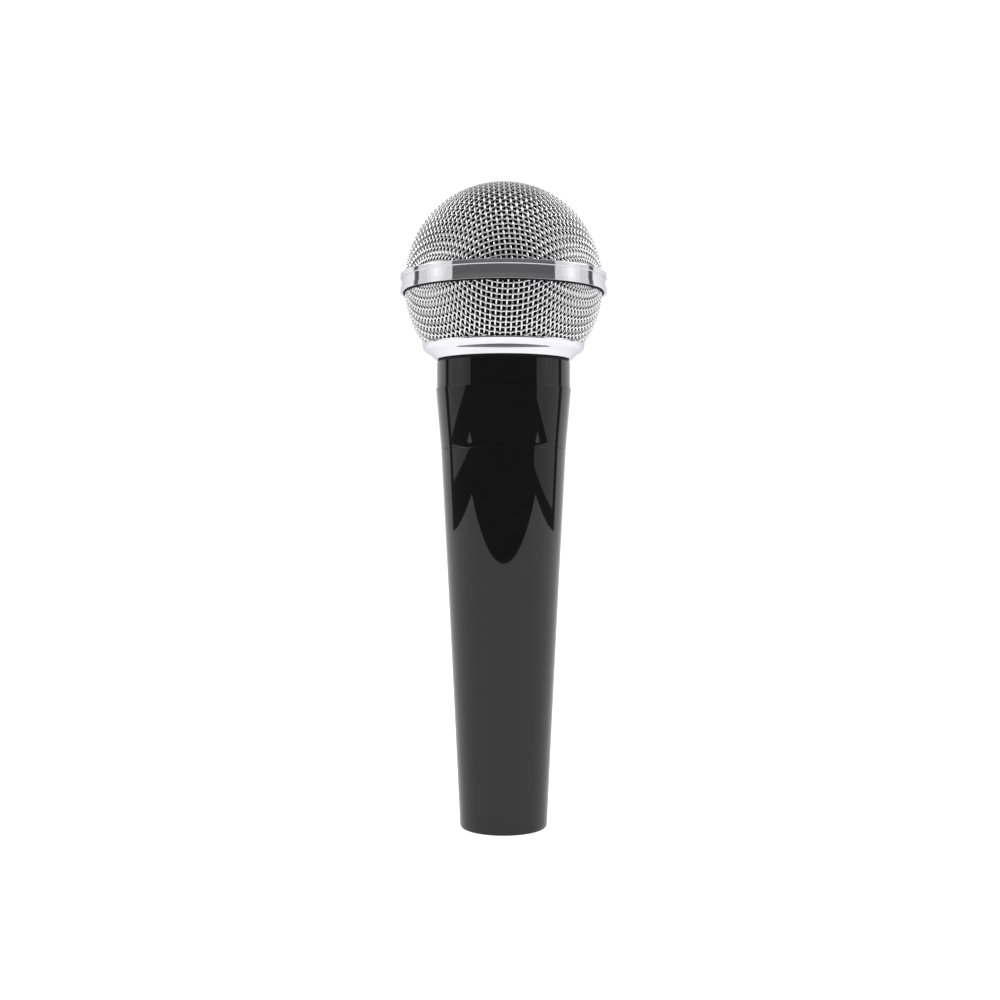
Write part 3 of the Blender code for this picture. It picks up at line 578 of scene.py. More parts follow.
def wire_paths(net, radius, rim, hole, crimp, twist):
    """The crimped wires that run along the net's second index, cut off below rim and, where
    there is a hole at the pole, above it. Both are heights over the ball's centre."""
    count = net.shape[1] // 2
    shares = np.arange(WIRE_STEPS) / WIRE_STEPS
    fine = [net[:, :-1] * (1.0 - share) + net[:, 1:] * share for share in shares]
    rows = np.stack(fine, axis=2).reshape(net.shape[0], -1, 3)
    rows /= np.linalg.norm(rows, axis=2)[:, :, None]
    rows = twisted(rows, twist)
    turns = np.arange(rows.shape[1]) / WIRE_STEPS
    middle = count * WIRE_STEPS
    odd = net.shape[0] // 2 + count
    paths = []
    for i, row in enumerate(rows):
        swing = crimp * np.cos(math.pi * (turns + i - odd))
        heights = row[:, 2] * radius
        low = np.flatnonzero(heights[:middle] < rim)
        high = np.flatnonzero(heights[middle:] < rim)
        first = low[-1] + 1 if len(low) else 0
        last = middle + high[0] if len(high) else len(row)
        keep = np.arange(first, last)
        keep = keep[heights[keep] < hole]
        for run in np.split(keep, np.flatnonzero(np.diff(keep) > 1) + 1):
            if len(run) > 2:
                paths.append((row[run] * (radius + swing[run])[:, None], row[run]))
    return paths


def weave(name, centre, radius, rim, hole, flip, twist, material, node):
    """The two sets of wires of one half of the ball. flip is -1 for the half whose pole is
    below its centre."""
    spacings = (WARP_SPACING, WEFT_SPACING)
    counts = [math.ceil(TURN / 4.0 * radius / spacing) + 1 for spacing in spacings]
    net = wire_net(radius, spacings, counts)
    sets = (("warp", net, WARP_CRIMP), ("weft", net.transpose(1, 0, 2), -WEFT_CRIMP))
    for kind, wires, crimp in sets:
        paths = [
            (path * (1.0, flip, flip) + (0.0, 0.0, centre), ups * (1.0, flip, flip))
            for path, ups in wire_paths(wires, radius, rim, hole, crimp, twist)
        ]
        mesh = tubes_mesh(f"{name}_{kind}_wires", paths, WIRE_RADIUS, WIRE_SIDES, WIRE_RISE)
        add_piece(mesh, material, "grille", node)


def make_mesh_ball(wire):
    edge = 0.1
    no_hole = 1000.0
    middle = reach("grille_dome") - WEFT_CRIMP - WIRE_RISE
    centre = top("grille_dome") - reach("grille_dome")
    rim = foot("grille_dome") + edge - centre
    weave("dome", centre, middle, rim, no_hole, 1.0, DOME_TWIST, wire, "grille_dome")
    centre = top("grille_cup")
    hole = centre - foot("grille_cup") - edge
    weave("cup", centre, middle, edge, hole, -1.0, CUP_TWIST, wire, "grille_cup")


def make_band(plate, black):
    """The band with its two lips, and a black ring just under it: painted shadow in the seam
    between the band and the cup.
    """
    low, high, outer = span("grille_band")
    groove, bore = outer - BAND_GROOVE, outer - BAND_WALL
    mesh = turned_mesh("grille_band_ring", [
        (bore, low, 0.1), (outer, low, 0.06), (outer - BAND_LEAN, low + BAND_LIP),
        (groove, low + BAND_LIP), (groove, high - BAND_LIP, 0.03),
        (outer, high - BAND_LIP, 0.2), (outer - BAND_LEAN, high, 0.12), (bore, high, 0.1),
    ], FINE_FACETS)
    add_piece(mesh, plate, "grille", "grille_band")
    # The black ring below sticks out under the band's lower edge to paint the shadow in the gap
    # there: painted shade.
    drop, inset, clear, slit = 0.3, 0.8, 0.05, 0.03
    inner, edge = reach("grille_dome") + clear, outer - inset
    mesh = turned_mesh("grille_band_painted_shadow_ring", [
        (inner, low - drop, 0.05), (edge, low - drop, 0.05), (edge, low - slit),
        (bore - clear, low - slit), (bore - clear, low + inset), (inner, low + inset),
    ], FINE_FACETS)
    add_piece(mesh, black, "grille", "grille_band")


def make_collar(plate, dark):
    """The bright cone and lip, and the dark threaded ring inside them."""
    low, spigot, outer = span("grille_collar")
    lip = spigot - SPIGOT_HEIGHT
    seat, rim = lip - 0.45, lip + 0.42
    wall, web, clear = COLLAR_BORE + 0.4, low + 0.35, 0.05
    mesh = turned_mesh("grille_collar_ring", [
        (COLLAR_BORE, low, 0.1), *[(r, low + z, cut) for r, z, cut in COLLAR_CONE],
        (outer, lip - 0.05, 0.05), (outer, lip + 0.2, 0.05), (outer - 0.25, rim, 0.1),
        (COLLAR_SPIGOT + clear, rim, 0.1), (COLLAR_SPIGOT + clear, seat), (wall + clear, seat),
        (wall + clear, web), (COLLAR_BORE, web),
    ], FINE_FACETS)
    add_piece(mesh, plate, "grille", "grille_collar")
    mesh = turned_mesh("collar_thread_ring", [
        (COLLAR_BORE, web + clear), (wall, web + clear), (wall, seat + clear),
        (COLLAR_SPIGOT, seat + clear), (COLLAR_SPIGOT, spigot, 0.2), (COLLAR_BORE, spigot, 0.2),
    ])
    first = THREAD_START + THREAD_PITCH / 2.0
    ridge = ridge_mesh("collar_ridge", COLLAR_BORE, FEMALE_CREST, first, THREAD_TURNS - 0.3)
    mesh = carved(mesh, ridge, "UNION")
    add_piece(mesh, dark, "grille", "grille_collar")


def foam_mesh(name, node, centre, depth):
    """A shell of open-cell foam, with its pores and its slight unevenness in the mesh."""
    low, high, ball = span(node)
    outer, inner = ball + FOAM_PRESS, ball - depth
    whole = high - centre > ball - 0.01

    def arc(radius, start, end, steps):
        sines = [min(1.0, (height - centre) / radius) for height in (start, end)]
        angles = np.linspace(*[math.asin(sine) for sine in sines], steps)
        return [(radius * math.cos(a), centre + radius * math.sin(a)) for a in angles]

    if whole:
        rising = arc(outer, low, centre + outer, 80)
        falling = arc(inner, centre + inner, low, 50)
        rising[-1], falling[0] = (0.0, centre + outer), (0.0, centre + inner)
        outline = falling + rising
    else:
        outline = arc(outer, low, high, 30) + arc(inner, high, low, 20)
    mesh = turned_mesh(name, outline, FOAM_FACETS, sharp=0)
    pore, pore_depth = 0.9, 0.16
    swell, swell_depth = 9.0, 0.12
    middle = Vector((0.0, 0.0, centre))
    for vertex in mesh.vertices:
        point = vertex.co / MM
        out = (point - middle).normalized()
        pit = noise.voronoi(point / pore)[0][0] - 0.5
        push = pore_depth * min(pit, 0.0) + swell_depth * (noise.noise(point / swell) - 0.5)
        vertex.co = (point + out * push) * MM
    return smooth(mesh, 0)


def make_foam(foam):
    """The two foam linings, pressed against the inside of the wire."""
    dome_centre = top("grille_dome") - reach("grille_dome")
    cup_centre = top("grille_cup")
    linings = (
        ("foam_dome_lining", "foam_dome", dome_centre, DOME_FOAM_DEPTH),
        ("foam_strip_lining", "foam_strip", cup_centre, CUP_FOAM_DEPTH),
    )
    for name, node, centre, depth in linings:
        mesh = foam_mesh(name, node, centre, depth)
        piece = add_piece(mesh, foam, "grille", node)


def make_grille_rings(finish):
    """The hoop behind the band, and the washer between the collar and the sleeve."""
    low, high, outer = span("mesh_hoop")
    wall = 0.7
    hoop = turned_mesh("foam_hoop", ring_outline(low, high, outer - wall, outer))
    add_piece(hoop, finish["satin_steel"], "grille", "mesh_hoop")
    low, high, outer = span("seat_washer")
    below, above, bore, inset = 0.08, 0.15, 15.6, 0.25
    outline = ring_outline(low + below, high + above, bore, outer - inset, 0.2)
    washer = turned_mesh("collar_washer", outline)
    add_piece(washer, finish["rubber"], "washer", "seat_washer")


# Capsule -------------------------------------------------------------------------------------


def make_capsule_shells(finish):
    plastic = finish["moulded_plastic"]
    low, high, outer = span("capsule_housing")
    neck, neck_bore, bore, floor, shoulder = 11.3, 10.0, 13.0, 123.0, 121.5
    outline = [
        (neck_bore, low, 0.1), (neck, low, 0.2), (neck, shoulder, 0.2), (outer, shoulder, 0.5),
    ]
    waist = outer - 0.25
    for groove in (124.0, 126.0, 128.0):
        outline += [
            (outer, groove, 0.05), (waist, groove + 0.1, 0.05), (waist, groove + 0.6, 0.05),
            (outer, groove + 0.7, 0.05),
        ]
    outline += [(outer, high, 0.15), (bore, high, 0.1), (bore, floor, 0.2), (neck_bore, floor, 0.2)]
    mesh = turned_mesh("capsule_body", outline)
    add_piece(mesh, plastic, "capsule", "capsule_housing")
    low, high = foot("capsule_cap"), top("capsule_cap")
    plate_low, plate_high, rim, hole = high - 1.0, high - 0.2, 12.6, 1.5
    mesh = turned_mesh("capsule_front_cap", [
        (0.0, plate_low), (bore, plate_low, 0.1), (bore, low, 0.1), (outer, low, 0.15),
        (outer, high, 0.5), (rim, high, 0.1), (rim - 0.2, plate_high, 0.1), (0.0, plate_high),
    ])
    places = [(0.0, 0.0)] + ring_places(4.9, 6) + ring_places(9.6, 10, 15.0)
    mesh = carved(mesh, rods_mesh("cap_holes", places, hole, plate_low - PAST, high + PAST))
    add_piece(mesh, plastic, "capsule", "capsule_cap")
    low, high = foot("rear_chamber"), top("rear_chamber")
    wall, waist, bend, flared, vent = 1.2, 9.8, 97.0, 99.0, 1.0
    mesh = turned_mesh("rear_air_chamber", [
        (vent, low, 0.1), (waist, low, 0.6), (waist, bend, 0.6), (neck, flared, 0.6),
        (neck, high, 0.2), (neck - wall, high, 0.2), (neck - wall, flared + wall / 2.0, 0.4),
        (waist - wall, bend + wall / 2.0, 0.4), (waist - wall, low + wall, 0.3),
        (vent, low + wall, 0.1),
    ])
    add_piece(mesh, plastic, "capsule", "rear_chamber")


def ring_places(radius, count, first=0.0):
    angles = [math.radians(first) + TURN * i / count for i in range(count)]
    return [(radius * math.cos(a), radius * math.sin(a)) for a in angles]


def make_screen(wire):
    """The fine woven screen behind the cap's holes."""
    low, high = foot("capsule_screen"), top("capsule_screen")
    radius, crimp, pitch, steps = 0.1, 0.09, 0.7, 4
    rim = reach("capsule_screen") - radius
    lines = int(rim / pitch)
    paths = []
    for across in (0, 1):
        for i in range(-lines, lines + 1):
            half = int(math.sqrt(rim ** 2 - (i * pitch) ** 2) / pitch * steps)
            if half < 2:
                continue
            run = np.arange(-half, half + 1) * pitch / steps
            lift = crimp * (1 - 2 * across) * np.cos(math.pi * (run / pitch + i))
            flat = [run, np.full_like(run, i * pitch)]
            heights = (low + high) / 2.0 + lift
            points = np.stack([flat[across], flat[1 - across], heights], axis=1)
            paths.append((points, np.tile((0.0, 0.0, 1.0), (len(run), 1))))
    mesh = tubes_mesh("capsule_fine_screen", paths, radius, 6)
    add_piece(mesh, wire, "capsule", "capsule_screen")


def make_motor(finish):
    """The plain rings inside the capsule, each an outline round its CAD node's own size."""
    shaft = 1.6

    def disc(node, inner, fillet=0.15):
        low, high, outer = span(node)
        return ring_outline(low, high, inner, outer, fillet)

    low, high, yoke = span("yoke_cup")
    floor, bore = low + 2.0, 11.0
    clamp_bore = reach("diaphragm_ring") - 0.45
    parts = (
        ("magnet_yoke", "yoke_cup", "satin_steel", "steel", [
            (shaft, low, 0.1), (yoke, low, 0.3), (yoke, high, 0.15), (bore, high, 0.15),
            (bore, floor, 0.3), (shaft, floor, 0.1),
        ]),
        ("ring_magnet", "magnet", "magnet_plate", "magnet_metal", disc("magnet", shaft, 0.35)),
        ("pole_plate", "pole_piece", "satin_steel", "steel", disc("pole_piece", shaft)),
        ("diaphragm_clamp", "diaphragm_ring", "brass", "brass",
            disc("diaphragm_ring", clamp_bore, 0.1)),
        ("felt_disc", "damping_disc", "felt", "felt", disc("damping_disc", 1.2, 0.3)),
        ("contact_board", "terminal_board", "paper_board", "board",
            disc("terminal_board", 1.0, 0.1)),
    )
    for name, node, look, slot, outline in parts:
        mesh = turned_mesh(name, outline)
        add_piece(mesh, finish[look], "capsule", node)


def make_lugs(metal):
    """The two solder lugs, each with a round eye."""
    eye_radius, eye_height = 0.5, 1.1
    for number in (1, 2):
        node = f"terminal_lug_{number}"
        low, high = corners(node)
        mesh = box_mesh(f"solder_lug_{number}", low, high, 0.12)
        x, z = (low.x + high.x) / 2.0, low.z + eye_height
        start, end = (x, low.y - PAST, z), (x, high.y + PAST, z)
        mesh = carved(mesh, rod_mesh("eye", start, end, eye_radius))
        add_piece(mesh, metal, "capsule", node)


def make_moving_system(finish):
    """The diaphragm, with slanted ribs in its round edge, and the wound coil under it."""
    film, dome_edge, edge, seat, sphere = 0.14, 10.45, 11.9, 133.5, 30.0
    sink = math.sqrt(sphere ** 2 - dome_edge ** 2)
    roll = (edge - dome_edge) / 2.0
    under = []
    for angle in np.linspace(TURN / 4.0, math.asin(sink / sphere), 24):
        under.append((sphere * math.cos(angle), seat - sink + sphere * math.sin(angle)))
    for angle in np.linspace(TURN / 2.0, 0.0, 17)[1:]:
        under.append((dome_edge + roll + roll * math.cos(angle), seat + roll * math.sin(angle)))
    under[0] = (0.0, under[0][1])
    over = [(r, z + film) for r, z in under]
    mesh = turned_mesh("diaphragm_film", over + under[::-1], facets=240, sharp=SOFT)
    ribs, rib_height, slant = 36, 0.05, 3.0
    for vertex in mesh.vertices:
        x, y, z = vertex.co / MM
        share = (math.hypot(x, y) - dome_edge) / (edge - dome_edge)
        if 0.0 < share < 1.0:
            wave = math.sin(ribs * math.atan2(y, x) + slant * share)
            vertex.co.z = (z + rib_height * wave * math.sin(math.pi * share)) * MM
    film_look = finish["polyester_film"]
    add_piece(mesh, film_look, "moving_system", "diaphragm")
    low, high, outer = span("voice_coil")
    turns, wall, bulge = 20, 0.7, 0.08
    wire = (high - low) / turns
    outline = [(outer - wall, low), (outer - wall, high)]
    for i in range(turns):
        for step in range(5):
            angle = math.pi * step / 4.0
            height = high - wire * (i + 0.5 - 0.5 * math.cos(angle))
            outline.append((outer - bulge + bulge * math.sin(angle), height))
    mesh = turned_mesh("wound_voice_coil", outline, facets=128, sharp=SOFT)
    add_piece(mesh, finish["enamelled_copper"], "moving_system", "voice_coil")


# Handle --------------------------------------------------------------------------------------


def handle_radius(height):
    """Outer radius of the lower handle: a taper with a very slight flare."""
    rise = height / SEAM
    swell = HANDLE_SWELL * rise * (1.0 - rise)
    return BASE_RADIUS + (reach("lower_handle") - BASE_RADIUS) * rise - swell


def screw_line(name, start, end, radius=SCREW_RADIUS):
    """A rod on the lock screw's line, between two distances from the handle's axis."""
    return rod_mesh(name, (0.0, start, SCREW_HEIGHT), (0.0, end, SCREW_HEIGHT), radius)


def make_lower_tube(black):
    """The long tapered tube, with the latch's recess and the lock screw's pocket in its bore."""
    spigot, spigot_top = 13.6, top("lower_handle")
    rings, first, last = 48, 0.7, 92.2
    heights = [first + (last - first) * i / rings for i in range(1, rings)]
    outside = [(8.8, 0.0), (handle_radius(0.0), 0.0, 0.8)]
    outside += [(handle_radius(z), z) for z in heights]
    outside += [(handle_radius(SEAM), SEAM, 0.11), (spigot, SEAM), (spigot, spigot_top, 0.3)]
    inside = [
        (12.2, spigot_top, 0.2), (12.2, 86.0), (12.8, 84.0), (9.8, 22.0), (SOCKET_RADIUS, 22.0),
        (SOCKET_RADIUS, 0.6),
    ]
    mesh = turned_mesh("lower_handle_tube", outside + inside, FINE_FACETS)
    half, inner = 2.5, SOCKET_RADIUS - PAST
    recess = box_mesh("recess", (-half, inner, 4.0), (half, SOCKET_RADIUS + 0.9, 8.0), 0.3)
    mesh = carved(mesh, recess)
    mesh = carved(mesh, screw_line("pocket", inner, SOCKET_RADIUS + 1.4))
    add_piece(mesh, black, "handle", "lower_handle")


def make_upper_tube(black):
    """The shoulder tube. Its foot stands out a little past the lower tube at the seam."""
    seam_cover, flare, flare_height, steps = 0.15, 0.018, 1.1, 32
    low, high, wide = span("upper_handle")
    low -= seam_cover
    narrow = reach("lower_handle")
    side = []
    for step in range(steps + 1):
        height = low + (high - low) * (step / steps) ** 2
        ease = max(0.0, 1.0 - (height - low) / flare_height)
        radius = narrow + (wide - narrow) * (height - low) / (high - low) + flare * ease ** 2
        side.append((radius, height))
    side[0] = (*side[0], 0.04)
    side[-1] = (*side[-1], 0.1)
    ledge, bore, seat = foot("head_sleeve") - GAP, 14.0, 15.0
    mesh = turned_mesh("upper_handle_tube", [
        (bore, low), *side, (seat, high), (seat, ledge), (bore, ledge),
    ], FINE_FACETS)
    add_piece(mesh, black, "handle", "upper_handle")


def make_sleeve(black):
    """The head sleeve: a plain ring, a shallow well for the washer, and the male thread."""
    low, high, outer = span("head_sleeve")
    bore, spigot, well = 13.4, 14.7, 113.8
    shoulder = top("upper_handle") + 0.08
    mesh = turned_mesh("head_sleeve_ring", [
        (bore, low), (spigot, low), (spigot, shoulder), (outer, shoulder),
        (outer, well + 0.25, 0.08), (MALE_CREST, well + 0.25), (MALE_CREST, well),
        (MALE_ROOT, well), (MALE_ROOT, high, 0.2), (bore, high, 0.2),
    ], FINE_FACETS)
    ridge = ridge_mesh("sleeve_ridge", MALE_ROOT, MALE_CREST, THREAD_START, THREAD_TURNS)
    mesh = carved(mesh, ridge, "UNION")
    add_piece(mesh, black, "handle", "head_sleeve")


def make_shock_mount(rubber):
    """The rubber bellows. It rides on no body."""
    low, high = foot("shock_mount"), top("shock_mount")
    inner, outer, waist, seat, flange, rib_pitch = 11.6, 13.1, 12.4, 119.7, 14.2, 2.9
    outline = [(inner, low, 0.1)]
    for rib in range(3):
        height = low + rib_pitch * rib
        outline += [
            (waist, height, 0.3), (outer, height + 0.7, 0.35), (outer, height + 1.5, 0.35),
            (waist, height + 2.2, 0.3),
        ]
    outline += [(waist, seat, 0.2), (flange, seat, 0.3), (flange, high, 0.3), (inner, high, 0.1)]
    mesh = turned_mesh("shock_mount_bellows", outline, facets=128, sharp=SOFT)
    piece = add_piece(mesh, rubber, None, "shock_mount")
    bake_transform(piece)


# Transformer ---------------------------------------------------------------------------------


def make_core(steel):
    """The core: a stack of thin sheets, each with its two windows."""
    low, high = corners("transformer_core")
    leg, yoke, sheets, slit = 2.2, 2.4, 16, 0.05
    xs = [low.x, low.x + leg, -leg, leg, high.x - leg, high.x]
    zs = [low.z, low.z + yoke, high.z - yoke, high.z]
    windows = {(1, 1), (3, 1)}
    solid = {(i, k) for i in range(5) for k in range(3)} - windows
    points, faces = [], []
    pitch = (high.y - low.y) / sheets
    for sheet in range(sheets):
        first = len(points)
        near = low.y + sheet * pitch + slit / 2.0
        for y in (near, near + pitch - slit):
            points += [(x, y, z) for x in xs for z in zs]

        def at(i, k, back):
            return first + back * len(xs) * len(zs) + i * len(zs) + k

        for i, k in solid:
            square = ((i, k), (i + 1, k), (i + 1, k + 1), (i, k + 1))
            for back in (0, 1):
                faces.append([at(*corner, back) for corner in square])
            borders = (
                ((i - 1, k), (i, k), (i, k + 1)), ((i + 1, k), (i + 1, k), (i + 1, k + 1)),
                ((i, k - 1), (i, k), (i + 1, k)), ((i, k + 1), (i, k + 1), (i + 1, k + 1)),
            )
            for beyond, a, b in borders:
                if beyond not in solid:
                    faces.append([at(*a, 0), at(*b, 0), at(*b, 1), at(*a, 1)])
    mesh = outward(mesh_of("laminated_core", points, faces, sharp=0))
    add_piece(mesh, steel, "handle", "transformer_core")


def make_bobbin(plastic):
    """A square tube between two flanges, round the core's middle leg."""
    low, high = corners("transformer_bobbin")
    tube_x, tube_y, hole_x, hole_y, flange, sunk = 2.9, 4.7, 2.5, 4.3, 0.7, 0.1
    start, end = low.z + sunk, high.z - sunk
    mesh = box_mesh("coil_bobbin", (-tube_x, -tube_y, start), (tube_x, tube_y, end), 0.0)
    for start in (low.z, high.z - flange):
        plate = box_mesh("flange", (low.x, low.y, start), (high.x, high.y, start + flange), 0.2)
        mesh = carved(mesh, plate, "UNION")
    start, end = low.z - PAST, high.z + PAST
    mesh = carved(mesh, box_mesh("hole", (-hole_x, -hole_y, start), (hole_x, hole_y, end), 0.0))
    add_piece(mesh, plastic, "handle", "transformer_bobbin")


def rounded_loop(half_x, half_y, corner, steps=8):
    """Points and outward directions round a rectangle with round corners."""
    points, outs = [], []
    for number, (sx, sy) in enumerate(((1, 1), (-1, 1), (-1, -1), (1, -1))):
        for step in range(steps + 1):
            angle = TURN / 4.0 * (number + step / steps)
            out = np.array((math.cos(angle), math.sin(angle)))
            centre = np.array((sx * (half_x - corner), sy * (half_y - corner)))
            points.append(centre + corner * out)
            outs.append(out)
    return np.array(points), np.array(outs)


def make_winding(copper):
    """The winding: layer upon layer of fine wire, whose turns show on its outside."""
    low, high = corners("transformer_winding")
    turns, swell = 28, 0.09
    outer, outs = rounded_loop(high.x - swell, high.y - swell, 1.5)
    inner, _ = rounded_loop(3.2, 5.0, 0.2)
    rows = []
    wire = (high.z - low.z) / turns
    for i in range(turns):
        for step in range(5):
            angle = math.pi * step / 4.0
            height = low.z + wire * (i + 0.5 - 0.5 * math.cos(angle))
            rows.append((outer + outs * swell * math.sin(angle), height))
    rows += [(inner, high.z), (inner, low.z)]
    count = len(outer)
    points = [(*point, height) for ring, height in rows for point in ring]
    rings = [range(row * count, (row + 1) * count) for row in range(len(rows))]
    faces = ring_faces(rings + rings[:1])
    mesh = outward(mesh_of("copper_winding", points, faces, sharp=0), SOFT)
    add_piece(mesh, copper, "handle", "transformer_winding")


def make_cradles(rubber):
    """The two soft blocks that hold the core's ends, with holes that the leads pass through."""
    near, far = corners("transformer_core")
    hole = 1.1
    cradles = (
        ("core_cradle_lower", "cradle_lower", near.z - GAP, top("cradle_lower") + PAST),
        ("core_cradle_upper", "cradle_upper", foot("cradle_upper") - PAST, far.z + GAP),
    )
    for name, node, start, end in cradles:
        low, high, outer = span(node)
        outline = [(0.0, low), (outer, low, 0.5), (outer, high, 0.5), (0.0, high)]
        mesh = turned_mesh(name, outline, 96)
        pocket_low = (near.x - GAP, near.y - GAP, start)
        pocket_high = (far.x + GAP, far.y + GAP, end)
        mesh = carved(mesh, box_mesh("pocket", pocket_low, pocket_high, 0.0))
        mesh = carved(mesh, rods_mesh("holes", LEAD_HOLES, hole, low - PAST, high + PAST))
        add_piece(mesh, rubber, "handle", node)


# Socket --------------------------------------------------------------------------------------


def make_socket(finish):
    """The insert and its three contacts, and the slotted screw that locks it in the handle."""
    low, high, outer = span("xlr_insert")
    pins = [f"xlr_pin_{number}" for number in (1, 2, 3)]
    places = [tuple(sum(corners(pin), Vector()).xy / 2.0) for pin in pins]
    mesh = turned_mesh("socket_insert", [
        (0.0, low), (6.3, low, 0.1), (6.4, low + 0.3, 0.1), (6.9, low + 0.3, 0.1), (7.0, low, 0.1),
        (outer, low, 0.4), (outer, high, 0.3), (0.0, high),
    ], 128)
    pin_hole, countersink, below = 1.5, 0.4, 0.2
    holes = rods_mesh("pin_holes", places, pin_hole, low - below, high + PAST, countersink)
    mesh = carved(mesh, holes)
    screw_in, screw_out = 4.4, SOCKET_RADIUS + 1.1
    mesh = carved(mesh, screw_line("bore", screw_in, outer + PAST))
    add_piece(mesh, finish["moulded_plastic"], "handle", "xlr_insert")
    thick, thin, neck, cup, cup_depth = 1.2, 1.0, 21.6, 0.65, 1.6
    for number, (pin, place) in enumerate(zip(pins, places), start=1):
        low, high = foot(pin), top(pin)
        mesh = turned_mesh(f"contact_pin_{number}", [
            (0.0, low), (0.85, low, 0.45), (thick, low + 1.1, 0.4), (thick, neck, 0.1),
            (thin, neck + 0.4, 0.1), (thin, high, 0.1), (cup, high, 0.05),
            (cup, high - cup_depth), (0.0, high - cup_depth),
        ], SMALL_FACETS, at=place)
        add_piece(mesh, finish["silver_plate"], "handle", pin)
    mesh = screw_line("lock_screw", screw_in + GAP, screw_out, SCREW_RADIUS - GAP)
    half, slot_depth = 0.2, 0.6
    slot_low = (-2.0, screw_out - slot_depth, SCREW_HEIGHT - half)
    slot_high = (2.0, screw_out + PAST, SCREW_HEIGHT + half)
    mesh = carved(mesh, box_mesh("slot", slot_low, slot_high, 0.0))
    add_piece(mesh, finish["satin_steel"], "handle", "xlr_lock_screw")
    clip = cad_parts["xlr_ground_clip"]
    clip.data.materials.clear()
    clip.data.materials.append(finish["brass"])


# Leads ---------------------------------------------------------------------------------------


def smooth_path(route, pieces=16):
    """Points on a smooth curve through the route's own points."""
    knots = [np.array(point) for point in route]
    knots = [2.0 * knots[0] - knots[1]] + knots + [2.0 * knots[-1] - knots[-2]]
    path = []
    for a, b, c, d in zip(knots, knots[1:], knots[2:], knots[3:]):
        for i in range(pieces):
            t = i / pieces
            path.append(0.5 * (
                2.0 * b + (c - a) * t + (2.0 * a - 5.0 * b + 4.0 * c - d) * t ** 2
                + (3.0 * b - a - 3.0 * c + d) * t ** 3
            ))
    return np.array(path + [knots[-2]])


def add_lead(name, node, route, material):
    path = smooth_path(route)
    ups = np.tile((0.0, 1.0, 0.0), (len(path), 1))
    radius, sides = 0.5, 16
    mesh = tubes_mesh(name, [(path, ups)], radius, sides)
    add_piece(mesh, material, "handle", node)


def make_leads(finish):
    """The five thin leads inside the handle, on the same routes as their CAD nodes."""
    beside, lug_foot = 1.1, 77.5
    flange_high, flange_low = 61.6, 52.4
    covers = ("yellow_cover", "red_cover")
    for number, (side, cover) in enumerate(zip((-1.0, 1.0), covers), start=1):
        hole = LEAD_HOLES[number - 1]
        x = side * 3.2
        add_lead(f"capsule_wire_{number}", f"capsule_lead_{number}", [
            (x, -beside, lug_foot + 3.0), (x, -beside, lug_foot), (x * 1.6, -2.6, 74.5),
            (x * 1.2, -5.4, 71.5), (*hole, 68.0), (*hole, flange_high + 1.2),
        ], finish[cover])
    tail = top("xlr_pin_1")
    for number, cover in enumerate(("white_cover", "red_cover", "yellow_cover"), start=1):
        low, high = corners(f"xlr_pin_{number}")
        pin = (low + high) / 2.0
        hole = LEAD_HOLES[number - 1]
        add_lead(f"socket_wire_{number}", f"xlr_lead_{number}", [
            (pin.x, pin.y, tail + GAP), (pin.x, pin.y, tail + 3.0),
            (pin.x * 1.25 + 0.4, pin.y * 0.6, 33.0), (hole[0], hole[1] * 0.75, 40.0),
            (*hole, 45.5), (*hole, flange_low - 0.2),
        ], finish[cover])


# Studio --------------------------------------------------------------------------------------


def make_camera():
    data = bpy.data.cameras.new("photo_camera")
    data.lens = CAMERA_LENS
    data.sensor_width = CAMERA_SENSOR
    data.clip_start = 0.01
    camera = add_object("photo_camera", data)
    camera.location = Vector(CAMERA_PLACE) * MM
    camera.rotation_euler = (TURN / 4.0, 0.0, 0.0)
    bpy.context.scene.camera = camera


def make_floor():
    """A pale light table: it glows evenly, and takes a little of the lamps' light. From below
    it can be seen through."""
    half_width, front, back = 884.0, -453.0, 2500.0
    glow_seen, glow_cast, matt_grey = 1.1, 0.80, 0.3
    mesh = mesh_of("floor", [
        (-half_width, front, 0.0), (half_width, front, 0.0), (half_width, back, 0.0),
        (-half_width, back, 0.0),
    ], [(0, 1, 2, 3)], sharp=0)
    floor = add_object("floor", mesh)
    material = bpy.data.materials.new("pale_floor")
    material.use_nodes = True
    material.node_tree.nodes.clear()
    tree = NodeTree(material.node_tree)
    camera_ray = tree.node("LightPath", {}, "Is Camera Ray")
    seen = tree.node("MapRange", {"Value": camera_ray, "To Min": glow_cast, "To Max": glow_seen})
    glow = tree.node("Emission", {"Strength": seen})
    matt = tree.node("BsdfDiffuse", {"Color": (matt_grey, matt_grey, matt_grey, 1.0)})
    both = tree.node("AddShader", {0: glow, 1: matt})
    from_below = tree.node("NewGeometry", {}, "Backfacing")
    clear = tree.node("BsdfTransparent", {})
    shown = tree.node("MixShader", {0: from_below, 1: both, 2: clear})
    tree.node("OutputMaterial", {"Surface": shown})
    mesh.materials.append(material)


def add_lamp(name, place, aim, size, radiance, shape="RECTANGLE"):
    """A soft lamp at a place, turned to a point it is aimed at; mm throughout. The camera
    doesn't see it."""
    data = bpy.data.lights.new(name, "AREA")
    data.shape = shape
    data.size, data.size_y = size[0] * MM, size[1] * MM
    share = 1.0 if shape == "RECTANGLE" else math.pi / 4.0
    data.energy = radiance * math.pi * data.size * data.size_y * share
    lamp = add_object(name, data)
    lamp.location = Vector(place) * MM
    lamp.rotation_euler = (Vector(place) - Vector(aim)).to_track_quat("Z", "Y").to_euler()
    lamp.visible_camera = False


